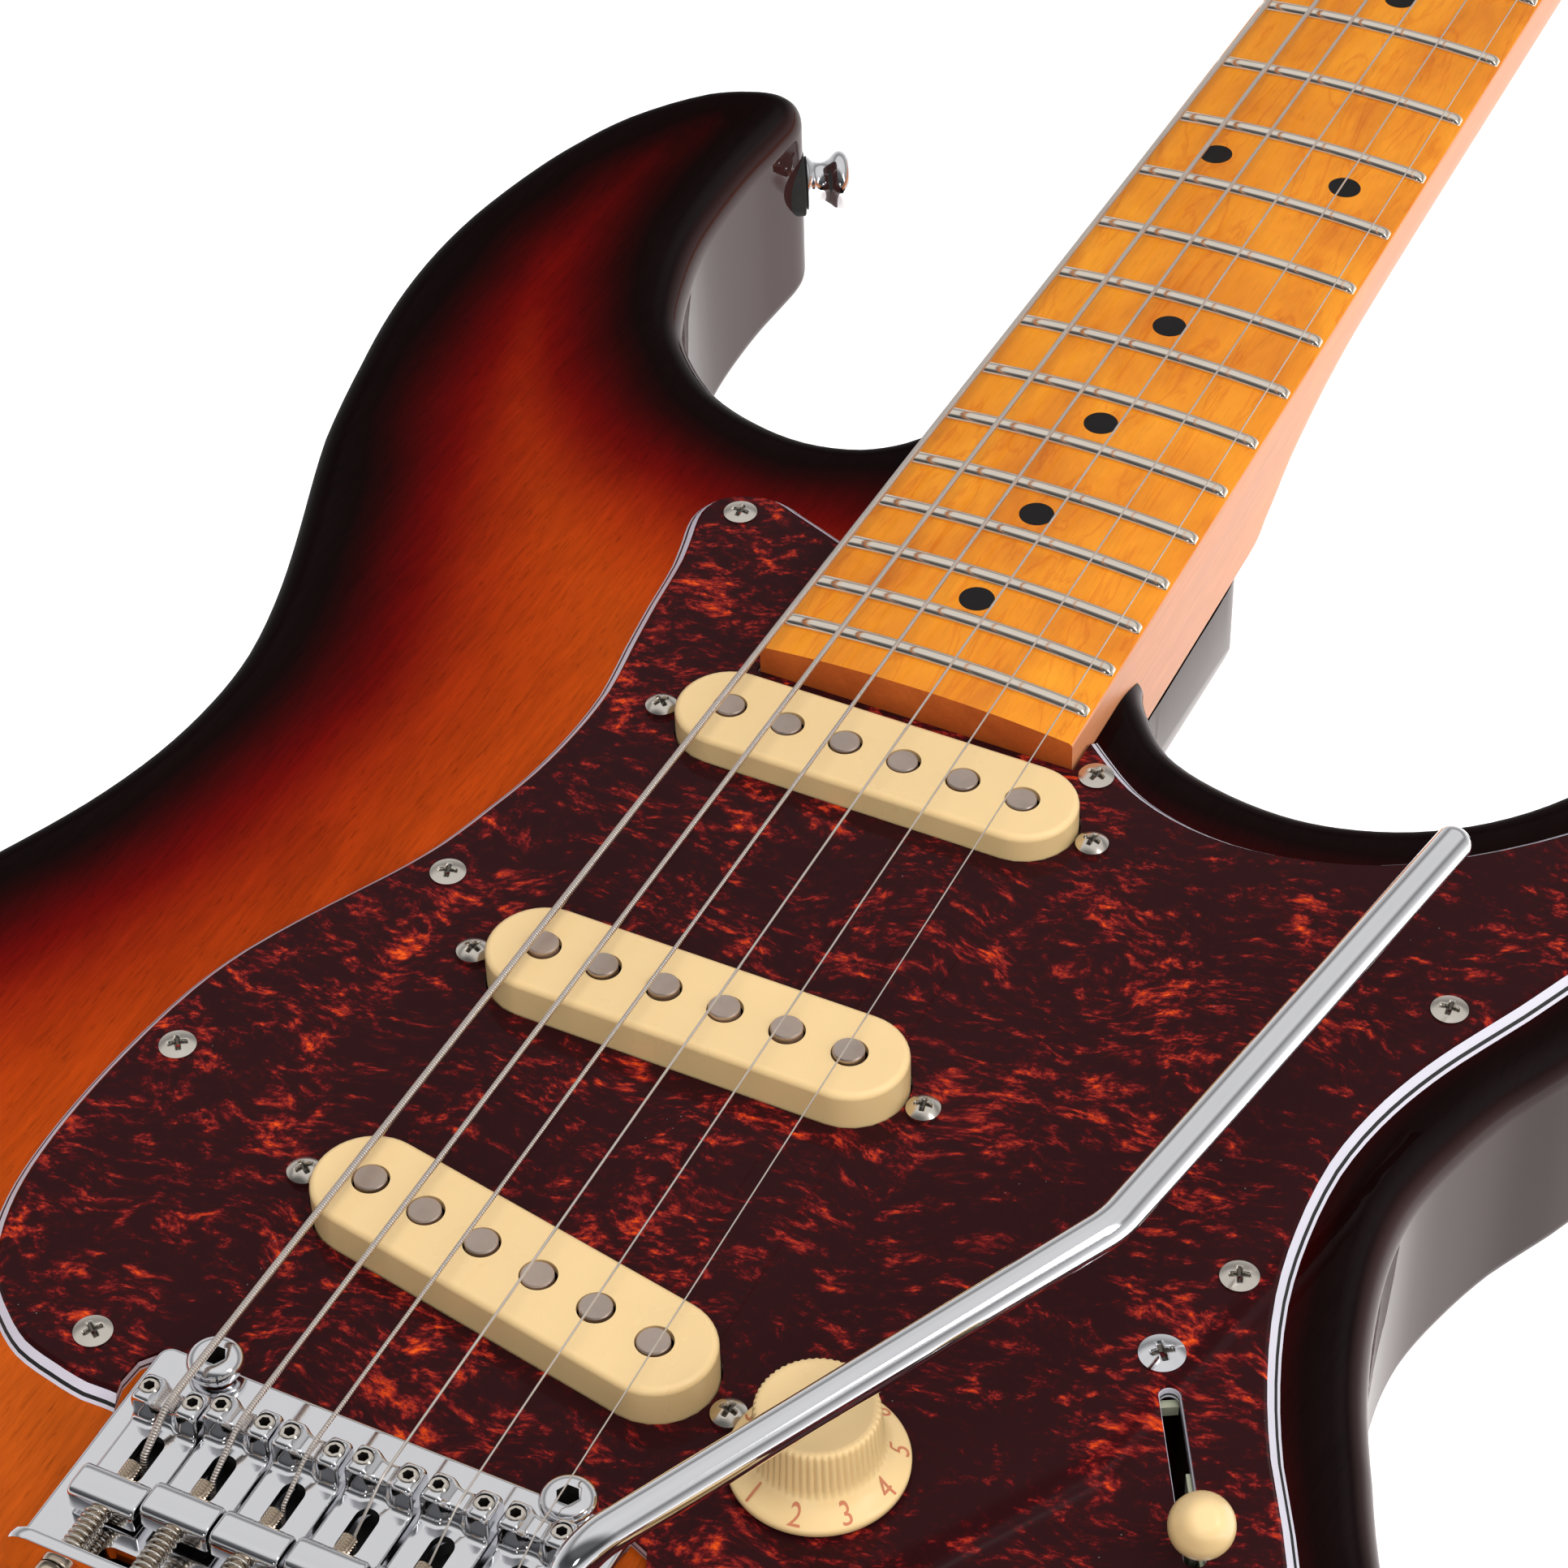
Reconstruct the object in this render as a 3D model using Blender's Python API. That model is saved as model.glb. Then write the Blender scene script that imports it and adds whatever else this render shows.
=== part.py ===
"""Solid-body electric guitar: bolt-on maple neck, three single-coil pickups, two-post tremolo.

The guitar lies on its back. z = 0 is the flat back of the body, +Y runs from the bridge to the
headstock and +X is the treble side. y = 0 is the bridge end of the string scale, on the centre
line. Everything is drawn in millimetres, and each mesh becomes metres where it is made.
"""

import math

import bmesh
import bpy
import numpy as np
from mathutils import Vector

for old in list(bpy.data.objects):
    bpy.data.objects.remove(old, do_unlink=True)

MM = 0.001
GAP = 0.3

# Scale and strings
SCALE = 648.0
FRETS = 22
STRINGS = 6
STRING_RADII = (0.584, 0.457, 0.33, 0.216, 0.165, 0.127)
BRIDGE_PITCH = 11.2
NUT_PITCH = 7.04
STRING_Z_BRIDGE = 58.2
STRING_Z_NUT = 54.5

# Body
BODY_T = 44.0
BODY_ROUND = 5.5
BACK_ROUND = 4.5
HEEL_Y = 252.0
BODY_OUTLINE = (
    (0, -132.5), (36, -130.5), (72, -122.5), (104, -109), (131, -89), (150, -65), (160, -39),
    (161.5, -13), (156.5, 9), (145, 29), (129.5, 49), (121.7, 65), (116, 78), (111.8, 92),
    (109.6, 104.5), (109.5, 115), (111.8, 126), (116, 138.5), (122, 150.5), (128, 165),
    (133.5, 181), (137, 198), (138, 215), (136, 233), (132, 248), (126, 259), (119.5, 262),
    (114, 257.5), (111, 247), (109.5, 233), (106.5, 219), (100, 206), (91.2, 195.8), (81, 188.6),
    (70.5, 184.6), (61.3, 183.4), (49.5, 184.8), (39.6, 188.6), (33, 195.5), (29.3, 201),
    (27.7, 207), (27.5, 214), (27.2, 232), (27.0, 246), (25.4, 253.6), (19.5, 258.2), (9, 259.4),
    (-8, 259.4), (-22, 257), (-30, 250.5), (-35.3, 243.4), (-41, 238.9), (-50.2, 236.6), (-60.4, 237.8),
    (-70.5, 241.6), (-79.5, 248.8), (-86.2, 257), (-91.6, 270.5), (-94.8, 283.4), (-96.1, 297),
    (-96.3, 309), (-95.8, 319), (-96, 325.3), (-98.6, 330.1), (-103.2, 331.7), (-109, 330.4),
    (-116.8, 325.8), (-127.5, 311.8), (-132.5, 300), (-135.6, 289.7), (-139, 270.8), (-139.6, 253.3),
    (-138, 237.5), (-135, 222.6), (-129.8, 201.8), (-122.6, 182.5), (-115.9, 164), (-111.3, 145.5),
    (-110.6, 132), (-112, 118), (-116, 103), (-122.4, 87.4), (-131, 68), (-141.5, 46), (-151, 23),
    (-158.5, -1), (-161.5, -26), (-159.5, -51), (-150.5, -76), (-134, -98.5), (-110, -116),
    (-80, -127), (-42, -132),
)

# Neck, fingerboard, headstock
BOARD_Y = (174.0, 647.6)
BOARD_HALF = (28.1, 21.3)
BOARD_BASE_Z = 45.4
BOARD_TOP_Z = 52.85
BOARD_RADIUS = 241.0
FRET_HALF = 1.3
FRET_HIGH = 1.1
NECK_TOP_Z = 45.1
POCKET_Z = 27.7
NUT_Y = (648.0, 651.2)
HEAD_FACE_Z = 42.5
HEAD_T = 14.0
POST_Y = 676.0
POST_STEP_Y = 25.0
POST_R = 2.9
HEAD_OUTLINE = (
    (-21.2, 650), (-22.5, 658), (-27, 666), (-32.5, 674), (-33, 680), (-24.4, 712), (-16, 744),
    (-7.6, 776), (0, 806), (5, 822), (13, 833), (25, 836), (35, 829), (38.5, 814), (36, 776),
    (31, 735), (26, 698), (22.6, 672), (21.2, 650),
)

# Pickguard: runs between its corners
PICKGUARD_Z = (44.3, 46.4)
PICKGUARD_RUNS = (
    ((28.6, 182.9), (32.8, 179.4), (39, 174.9), (47.4, 171.6), (57.7, 170.3), (68.1, 171.7),
     (80.2, 175.8), (91.1, 182.9), (104.5, 195.3), (111, 204.5), (115, 213.5), (119, 219),
     (123.4, 219), (126, 213), (126.4, 199), (124, 184), (120.6, 172.5), (115.9, 162.1),
     (112.1, 153.7), (106.1, 141.6), (102.7, 133.5), (99.8, 124.1), (97.9, 112.5), (98.2, 98.8),
     (100.1, 86.2), (104.5, 72.1), (110.2, 59.1), (118.9, 43.3), (124.3, 25), (127, 5),
     (126, -16), (121, -35), (112, -49.5), (100, -58.5), (85, -62.5), (70, -58.5), (57, -46),
     (48.5, -29), (43.5, -13), (40.8, 0), (40.2, 4.5), (38.8, 7.4), (35.8, 9.2), (31, 9.7)),
    ((31, 9.7), (0, 9.7), (-31, 9.7)),
    ((-31, 9.7), (-35.5, 10.0), (-39.3, 8.6), (-41.6, 5.6), (-41.9, 1.5), (-40.9, -2.1)),
    ((-40.9, -2.1), (-46.2, -2.2), (-52.4, -1.2), (-59, 0.5), (-64.5, 4), (-70, 9),
     (-74, 15.8), (-76.8, 24.4), (-78, 33), (-78.3, 44.1), (-77.6, 56.5), (-75.5, 71.7),
     (-72.3, 82.9), (-65.9, 96.8), (-60.4, 107.5), (-56.6, 116.4), (-53.7, 127.1),
     (-51.5, 136.6), (-50.2, 148), (-50.1, 159), (-51.8, 170.5), (-53.4, 182.4), (-54.6, 193.5),
     (-56.1, 200), (-57.5, 206.5), (-56.1, 211.6), (-51.5, 214.9), (-45.8, 216.1),
     (-41.1, 214.6), (-30.6, 210.7), (-28, 209.6)),
    ((-28, 209.6), (-28.6, 173.4)),
    ((-28.6, 173.4), (28.6, 173.4)),
    ((28.6, 173.4), (28.6, 182.9)),
)

# Pickups: name, centre y, slant of the row over its six poles, top of the cover
PICKUPS = (("neck", 159.1, 0.0, 51.2), ("middle", 96.6, 0.0, 52.9), ("bridge", 39.7, 9.0, 53.1))
COVER_LONG = 70.2
COVER_WIDE = 17.8
COVER_FOOT_Z = 33.0
POLE_PITCH = 10.4
POLE_R = 2.45

# Controls
KNOBS = (("volume", 53.4, 30.3), ("tone_a", 77.2, -1.3), ("tone_b", 101.0, -32.9))
KNOB_Z = 47.0
SHAFT_R = 3.0
SLOT_CENTRE = (99.0, 50.3)
SLOT_ALONG = (0.496, -0.868)
SLOT_HALF = 15.5
LEVER_PIVOT_Z = 22.5
LEVER_LONG = 39.5
LEVER_TILT = 26.0

# Tremolo
TREM_POST = (28.0, 5.8)
POST_NECK_R = 2.6
PLATE_X = (-37.4, 37.5)
PLATE_Y = (-34.4, 7.0)
PLATE_Z = (48.5, 51.0)
BLOCK_X = (-35.5, 32.3)
BLOCK_Y = (-18.6, -5.8)
STRING_HOLE_Y = -13.2
SADDLE_Y = (-4.4, -3.6, -3.9, -3.3, -2.6, -1.6)
EAR_X = 41.8
ARM_AT = (37.0, -12.3)
ARM_R = 2.85
ARM_CORNERS = ((37.0, -12.3, 48.0), (37.0, -12.3, 66.4), (81.0, 65.9, 73.0), (98.3, 151.8, 77.5))
ARM_BENDS = (9.0, 16.0)

# Jack, straps, neck joint
JACK_AT = (113.0, -79.0)
JACK_ALONG = (0.77, 0.638)
STRAP_UPPER = ((-95.75, 325.4, 25.0), (0.969, 0.245, 0.0))
STRAP_END = ((0.0, -132.7, 22.0), (0.0, -1.0, 0.0))
NECK_BOLTS = ((-18, 190), (18, 190), (-18, 237), (9, 237))
NECK_PLATE = ((-25, 182), (25, 182), (25, 198), (16, 212), (16, 245), (-25, 245))
CLAW_SCREW_X = 13.0

COLOURS = {
    "sunburst": (0.35, 0.07, 0.01),
    "maple": (0.85, 0.42, 0.06),
    "bone": (0.85, 0.8, 0.66),
    "tortoise": (0.12, 0.02, 0.02),
    "cream": (0.9, 0.74, 0.45),
    "chrome": (0.8, 0.8, 0.82),
    "steel": (0.62, 0.6, 0.58),
    "black": (0.03, 0.03, 0.03),
}


# ---------------------------------------------------------------- shapes


def material(name):
    found = bpy.data.materials.get(name)
    if found is None:
        found = bpy.data.materials.new(name)
        found.use_nodes = True
        shader = found.node_tree.nodes["Principled BSDF"]
        shader.inputs["Base Color"].default_value = (*COLOURS[name], 1.0)
        shader.inputs["Metallic"].default_value = float(name in ("chrome", "steel"))
        shader.inputs["Roughness"].default_value = 0.25
    return found


def solid(name, points, faces, look=None):
    """One mesh object from points in millimetres, with its faces turned outwards."""
    mesh = bpy.data.meshes.new(name)
    mesh.from_pydata([tuple(float(v) * MM for v in p) for p in points], [], faces)
    tidy = bmesh.new()
    tidy.from_mesh(mesh)
    bmesh.ops.recalc_face_normals(tidy, faces=tidy.faces)
    if tidy.calc_volume(signed=True) < 0:
        bmesh.ops.reverse_faces(tidy, faces=tidy.faces)
    tidy.to_mesh(mesh)
    tidy.free()
    made = bpy.data.objects.new(name, mesh)
    bpy.context.scene.collection.objects.link(made)
    if look:
        finish(made, look)
    return made


def finish(made, look):
    made.data.materials.clear()
    made.data.materials.append(material(look))
    made.data.shade_smooth()
    made.data.set_sharp_from_angle(angle=math.radians(35))


def stack(name, rings, look=None):
    """A closed solid through rings that hold the same number of points."""
    count = len(rings[0])
    points = [p for ring in rings for p in ring]
    faces = [tuple(range(count)), tuple(range(len(points) - count, len(points)))]
    for k in range(len(rings) - 1):
        for i in range(count):
            j = (i + 1) % count
            a = k * count
            faces.append((a + i, a + j, a + count + j, a + count + i))
    return solid(name, points, faces, look)


def prism(name, outline, low, high, look=None):
    return stack(name, [[(x, y, z) for x, y in outline] for z in (low, high)], look)


def box(name, low, high, look=None):
    (x0, y0, z0), (x1, y1, z1) = low, high
    return prism(name, [(x0, y0), (x1, y0), (x1, y1), (x0, y1)], z0, z1, look)


def extrude_x(name, profile, low, high, look=None):
    """A side profile of (y, z) points carried from x = low to x = high."""
    return stack(name, [[(x, y, z) for y, z in profile] for x in (low, high)], look)


def frame_on(axis):
    """Two directions square to an axis."""
    along = Vector(axis).normalized()
    other = Vector((0, 0, 1)) if abs(along.z) < 0.9 else Vector((0, 1, 0))
    across = along.cross(other).normalized()
    return along, across, along.cross(across)


def turned(name, profile, centre, axis=(0, 0, 1), sides=16, look=None, turn=0.0):
    """A turned solid. The profile is (radius, distance along the axis)."""
    along, u, v = frame_on(axis)
    rings = []
    for radius, far in profile:
        ring = []
        for k in range(sides):
            a = 2 * math.pi * k / sides + turn
            ring.append(Vector(centre) + along * far + (u * math.cos(a) + v * math.sin(a)) * radius)
        rings.append(ring)
    return stack(name, rings, look)


def rod(name, start, end, radius, sides=12, look=None, turn=0.0):
    reach = Vector(end) - Vector(start)
    return turned(name, [(radius, 0), (radius, reach.length)], start, reach, sides, look, turn)


def boolean(target, tools, operation="DIFFERENCE"):
    """Cuts or joins the tools, one after another, and drops them."""
    for tool in tools:
        step = target.modifiers.new("step", "BOOLEAN")
        step.operation = operation
        step.solver = "EXACT"
        step.object = tool
        graph = bpy.context.evaluated_depsgraph_get()
        made = bpy.data.meshes.new_from_object(target.evaluated_get(graph))
        target.modifiers.clear()
        target.data = made
        bpy.data.objects.remove(tool, do_unlink=True)
    return target


def join(target, tools):
    return boolean(target, tools, "UNION")


def curve_through(points, parts, closed):
    """A centripetal Catmull-Rom curve through points, each span in equal parts."""
    knots = [np.array(p, float) for p in points]
    last = len(knots)
    out = []
    for i in range(last if closed else last - 1):
        near = [knots[(i + k) % last] if closed else None for k in (-1, 0, 1, 2)]
        if not closed:
            b, c = knots[i], knots[i + 1]
            a = knots[i - 1] if i else 2 * b - c
            d = knots[i + 2] if i + 2 < last else 2 * c - b
            near = [a, b, c, d]
        t = [0.0]
        for k in range(3):
            t.append(t[-1] + math.sqrt(max(np.linalg.norm(near[k + 1] - near[k]), 1e-6)))
        for k in range(parts):
            s = t[1] + (t[2] - t[1]) * k / parts
            row = near
            for level in (1, 2, 3):
                row = [
                    ((t[j + level] - s) * row[j] + (s - t[j]) * row[j + 1]) / (t[j + level] - t[j])
                    for j in range(len(row) - 1)
                ]
            out.append(tuple(row[0]))
    if not closed:
        out.append(tuple(knots[-1]))
    return out


def inset(outline, distance):
    """The outline moved inwards along the mean normal at each point."""
    p = np.array(outline)
    d = np.roll(p, -1, 0) - np.roll(p, 1, 0)
    d /= np.linalg.norm(d, axis=1)[:, None]
    area = np.sum(p[:, 0] * np.roll(p[:, 1], -1) - np.roll(p[:, 0], -1) * p[:, 1])
    normal = np.stack([-d[:, 1], d[:, 0]], 1) * (1 if area > 0 else -1)
    return [tuple(q) for q in p + normal * distance]


def stadium(centre, along, long, wide, steps=6):
    """A slot shape with round ends. long is its full length."""
    ux, uy = along
    size = math.hypot(ux, uy)
    ux, uy = ux / size, uy / size
    r = wide / 2
    half = long / 2 - r
    out = []
    for end in (1, -1):
        for k in range(steps + 1):
            a = -math.pi / 2 + math.pi * k / steps
            f = end * (half + r * math.cos(a))
            s = end * r * math.sin(a)
            out.append((centre[0] + ux * f - uy * s, centre[1] + uy * f + ux * s))
    return out


def rounded(low, high, radius, steps=3):
    out = []
    for k, (sx, sy) in enumerate(((1, 1), (0, 1), (0, 0), (1, 0))):
        cx = high[0] - radius if sx else low[0] + radius
        cy = high[1] - radius if sy else low[1] + radius
        for i in range(steps + 1):
            a = math.pi / 2 * (k + i / steps)
            out.append((cx + radius * math.cos(a), cy + radius * math.sin(a)))
    return out


def sag(x):
    """How far a surface of the fingerboard's radius drops at x."""
    return BOARD_RADIUS - math.sqrt(BOARD_RADIUS**2 - x * x)


def half_width(y):
    t = (y - BOARD_Y[0]) / (BOARD_Y[1] - BOARD_Y[0])
    return BOARD_HALF[0] + (BOARD_HALF[1] - BOARD_HALF[0]) * t


def string_x(i, y):
    side = i - (STRINGS - 1) / 2
    return side * (BRIDGE_PITCH + (NUT_PITCH - BRIDGE_PITCH) * y / SCALE)


def string_break(i):
    x = string_x(i, 0)
    return x, SADDLE_Y[i], STRING_Z_BRIDGE - sag(x)


def string_nut(i):
    x = string_x(i, SCALE)
    return x, NUT_Y[0] + 1.6, STRING_Z_NUT - sag(x) + STRING_RADII[i] - 0.3


def post_centre(i):
    y = POST_Y + POST_STEP_Y * i
    return string_x(i, y) - POST_R - STRING_RADII[i] - 0.35, y


# ---------------------------------------------------------------- body


def make_body():
    outline = curve_through(BODY_OUTLINE, 2, True)
    rings = []
    for k in range(3):
        a = math.pi / 2 * k / 2
        rings.append((BACK_ROUND * (1 - math.sin(a)), BACK_ROUND * (1 - math.cos(a))))
    for k in range(3):
        a = math.pi / 2 * k / 2
        rings.append((BODY_ROUND * (1 - math.cos(a)), BODY_T - BODY_ROUND * (1 - math.sin(a))))
    body = stack("body", [[(x, y, z) for x, y in inset(outline, d)] for d, z in rings])
    near, far = half_width(BOARD_Y[0]) + 0.35, half_width(HEEL_Y) + 0.35
    lip = half_width(205.0) + 0.35
    pocket = [(-near, 173.4), (near, 173.4), (lip, 202), (32, 204.5), (32, 270), (-far, 270)]
    controls = [
        (40, 30), (40, 58), (62, 70), (82, 84), (94, 78), (114, 42), (121, 20), (121, -14),
        (114, -38), (100, -50), (84, -50), (70, -34), (58, -8), (50, 10),
    ]
    jack = stadium(JACK_AT, JACK_ALONG, 54, 23, 3)
    boolean(body, [
        prism("c", pocket, POCKET_Z, 60),
        box("c", (-44, 21, 26), (44, 169.6, 60)),
        prism("c", controls, 8, 60),
        prism("c", jack, 12, 60),
        box("c", (95, -68, 14), (112, -40, 34)),
        box("c", (BLOCK_X[0] - 0.9, -29.5, 12), (BLOCK_X[1] + 0.9, -1.6, 60)),
        box("c", (BLOCK_X[0] - 0.9, -39, -5), (BLOCK_X[1] + 0.9, 6, 18)),
        box("c", (-30, 2, -5), (30, 108, 18)),
        prism("c", rounded((-50.3, -48.3), (50.3, 118.3), 8.3), -5, 2.0),
    ])
    heel = [(21.5, -1), (23.3, 4), (25.7, 11), (27.6, 18), (29.5, 26), (40, 26), (40, -1)]
    ends = ((201.0, 6.0), (213.0, 0.0), (268.0, 0.0))
    boolean(body, [stack("c", [[(x + s, y, z) for x, z in heel] for y, s in ends])])
    holes = [rod("c", (s * TREM_POST[0], TREM_POST[1], 20), (s * TREM_POST[0], TREM_POST[1], 60),
                 3.9, 12) for s in (-1, 1)]
    holes += [rod("c", (s * CLAW_SCREW_X, 104, 9.5), (s * CLAW_SCREW_X, 128, 9.5), 1.9, 8)
              for s in (-1, 1)]
    holes += [rod("c", (x, y, -5), (x, y, 32), 2.7, 10) for x, y in NECK_BOLTS]
    for at, axis in (STRAP_UPPER, STRAP_END):
        inside = Vector(at) - Vector(axis) * 16
        holes.append(rod("c", inside, Vector(at) + Vector(axis) * 5, 1.9, 8))
    boolean(body, holes)
    boolean(body, [contour("forearm"), contour("belly")])
    finish(body, "sunburst")


def contour(kind):
    """A cutter whose face curves away from the top or the back, on the bass side."""
    if kind == "forearm":
        start, way, radius, span, flip, long = (-96, -30), (-0.85, -0.53), 150.0, 95.0, 1, 200.0
    else:
        start, way, radius, span, flip, long = (-60, 108), (-0.95, 0.3), 100.0, 80.0, -1, 170.0
    flat = BODY_T if flip > 0 else 0.0
    size = math.hypot(*way)
    wx, wy = way[0] / size, way[1] / size
    profile = [(-2.0, flat + flip * 30), (-2.0, flat + flip * 0.4)]
    for k in range(7):
        f = span * k / 6
        drop = radius - math.sqrt(radius**2 - f * f)
        profile.append((f, flat - flip * (drop - 0.05)))
    profile.append((span, flat + flip * 30))
    rings = []
    for k in range(9):
        share = k / 4 - 1
        side = share * long / 2
        lift = flip * 20.0 * share**2
        rings.append([(start[0] + wx * f - wy * side, start[1] + wy * f + wx * side, z + lift)
                      for f, z in profile])
    return stack("c", rings)


def make_body_hardware():
    plate = prism("neck_plate", NECK_PLATE, -2.1, -0.3)
    parts = []
    for x, y in NECK_BOLTS:
        bolt = [(2.4, 38.0), (2.4, -1.0), (4.4, -1.2), (4.2, -2.5), (2.2, -3.1)]
        parts.append(turned("b", bolt, (x, y, 0), sides=10))
    finish(join(plate, parts), "chrome")
    cover = prism("back_cover", rounded((-50, -48), (50, 118), 8), 0, 1.7)
    holes = [rod("c", (string_x(i, 0), STRING_HOLE_Y, -3), (string_x(i, 0), STRING_HOLE_Y, 5), 3.6, 10)
             for i in range(STRINGS)]
    finish(boolean(cover, holes), "black")
    make_jack()
    profile = [(1.6, -14.0), (1.6, 0.2), (5.2, 0.4), (5.3, 1.2), (3.9, 2.8), (3.9, 4.4),
               (5.6, 6.2), (6.0, 7.4), (4.8, 9.0), (2.6, 9.6)]
    for name, (at, axis) in (("strap_button_upper", STRAP_UPPER), ("strap_button_end", STRAP_END)):
        turned(name, profile, at, axis, 12, "chrome")
    claw = box("trem_claw", (-27, 95.5, 3.2), (27, 98.0, 15.5))
    screws = []
    for side in (-1, 1):
        x = side * CLAW_SCREW_X
        shank = [(3.4, 92.0), (3.4, 94.4), (1.6, 94.8), (1.6, 126.0)]
        screws.append(turned("b", shank, (x, 0, 9.5), (0, 1, 0), 8))
    hooks = [box("b", (x - 1.2, 91.5, 12.0), (x + 1.2, 96.5, 13.6)) for x in (-21, 0, 21)]
    finish(join(claw, screws + hooks), "steel")


def make_jack():
    top = prism("jack_plate", stadium(JACK_AT, JACK_ALONG, 62, 29), 44.3, 45.8)
    shell = stack("b", [
        [(x, y, z) for x, y in stadium(JACK_AT, JACK_ALONG, long, wide)]
        for z, long, wide in ((45.0, 51, 20), (31.0, 40, 15))
    ])
    socket = rod("b", (*JACK_AT, 19), (*JACK_AT, 32), 5.0, 12)
    join(top, [shell, socket])
    hollow = stack("c", [
        [(x, y, z) for x, y in stadium(JACK_AT, JACK_ALONG, long, wide)]
        for z, long, wide in ((47.0, 48.4, 17.4), (32.6, 37.2, 12.4))
    ])
    boolean(top, [hollow, rod("c", (*JACK_AT, 10), (*JACK_AT, 40), 3.25, 12)])
    finish(top, "chrome")


# ---------------------------------------------------------------- neck


def neck_ring(y, half, top, deep, power):
    """A section: flat on top, and below it a half superellipse."""
    ring = []
    for k in range(15):
        a = math.pi * k / 14
        c, s = math.cos(a), math.sin(a)
        x = half * math.copysign(abs(c) ** (2 / power), c)
        ring.append((x, y, top - deep * abs(s) ** (2 / power)))
    return ring


def make_neck():
    rings = []
    heel = NECK_TOP_Z - POCKET_Z - GAP
    stations = [(174.0, heel, 26.0), (256.0, heel, 26.0), (263.0, heel - 0.2, 12.0),
                (272.0, heel - 0.5, 6.0), (284.0, heel - 0.9, 3.6), (298.0, heel - 1.3, 2.6),
                (316.0, 15.4, 2.3), (400.0, 14.9, 2.2), (520.0, 14.2, 2.2), (640.0, 13.3, 2.2)]
    for y, deep, power in stations:
        rings.append(neck_ring(y, half_width(y), NECK_TOP_Z, deep, power))
    for y, top, deep in ((654.5, 45.1, 13.6), (660.0, 43.6, 13.6), (668.0, 42.3, 13.2)):
        rings.append(neck_ring(y, 20.9, top, deep, 2.6))
    neck = stack("neck", rings)
    run = curve_through(HEAD_OUTLINE, 2, False)
    low = HEAD_FACE_Z - HEAD_T
    levels = ((0.8, low), (0.0, low + 1.0), (0.0, HEAD_FACE_Z - 1.0), (0.8, HEAD_FACE_Z))
    head = stack("b", [[(x, y, z) for x, y in inset(run, d)] for d, z in levels])
    join(neck, [head])
    holes = [rod("c", (x, y, 20), (x, y, 39.0), 2.7, 10) for x, y in NECK_BOLTS]
    for i in range(STRINGS):
        x, y = post_centre(i)
        holes.append(rod("c", (x, y, 20), (x, y, 60), 4.8, 12))
    finish(boolean(neck, holes), "maple")


def make_fretboard():
    rows = [(BOARD_Y[0], 0.0)]
    for n in range(FRETS, 0, -1):
        y = SCALE * 2 ** (-n / 12)
        rows += [(y - FRET_HALF, 0.0), (y - 0.7, FRET_HIGH), (y + 0.7, FRET_HIGH),
                 (y + FRET_HALF, 0.0)]
    rows.append((BOARD_Y[1], 0.0))
    spread = np.linspace(-1, 1, 5)
    points, faces = [], []
    for y, rise in rows:
        half = half_width(y)
        points += [(half * s, y, BOARD_TOP_Z - sag(half * s) + rise) for s in spread]
        points += [(half, y, BOARD_BASE_Z), (-half, y, BOARD_BASE_Z)]
    count = len(spread) + 2
    for k in range(len(rows) - 1):
        for i in range(count):
            j = (i + 1) % count
            a = k * count
            faces.append((a + i, a + j, a + count + j, a + count + i))
    faces.append(tuple(range(count)))
    faces.append(tuple(range(len(points) - count, len(points))))
    solid("fretboard", points, faces, "maple")


def make_nut():
    edge = BOARD_HALF[1] - 0.2
    profile = [(edge, BOARD_BASE_Z), (edge, 53.9 - sag(edge))]
    for i in reversed(range(STRINGS)):
        x, _, z = string_nut(i)
        r = STRING_RADII[i]
        rim = 54.5 - sag(x)
        floor = z - r - GAP
        profile += [(x + r + 0.5, rim), (x + r + 0.35, floor), (x - r - 0.35, floor),
                    (x - r - 0.5, rim)]
    profile += [(-edge, 53.9 - sag(edge)), (-edge, BOARD_BASE_Z)]
    stack("nut", [[(x, y, z) for x, z in profile] for y in NUT_Y], "bone")


def make_tuners():
    ends = post_centre(0), post_centre(STRINGS - 1)
    line = Vector((ends[1][0] - ends[0][0], ends[1][1] - ends[0][1], 0)).normalized()
    out = Vector((-line.y, line.x, 0))
    low = HEAD_FACE_Z - HEAD_T
    for i in range(STRINGS):
        x, y = post_centre(i)
        at = Vector((x, y, 0))
        corners = [at + line * a + out * b for a, b in ((-7, -7), (7, -7), (7, 10.5), (-7, 10.5))]
        housing = prism(f"tuner_housing_{i + 1}", [(c.x, c.y) for c in corners], 18.6, low - 0.3)
        tube = rod("b", (x, y, 26), (x, y, HEAD_FACE_Z + 2.0), 4.4, 8)
        washer = rod("b", (x, y, HEAD_FACE_Z + 0.3), (x, y, HEAD_FACE_Z + 1.5), 6.8, 8)
        join(housing, [tube, washer])
        inner = at + out * 6 + Vector((0, 0, 23.4))
        bores = [rod("c", (x, y, 20.0), (x, y, 60), POST_R + 0.6, 8),
                 rod("c", inner, inner + out * 10, 2.0, 8)]
        finish(boolean(housing, bores), "chrome")
        wrap = string_wrap_z(i)
        post = [(POST_R, 20.6), (POST_R, wrap - 3.4), (POST_R - 0.25, wrap - 2.8),
                (POST_R - 0.25, wrap + 1.8), (POST_R, wrap + 2.4), (POST_R, wrap + 5.2),
                (POST_R - 0.8, wrap + 5.9)]
        turned(f"tuner_post_{i + 1}", post, (x, y, 0), sides=10, look="chrome")
        make_button(i, inner, out)


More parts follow.
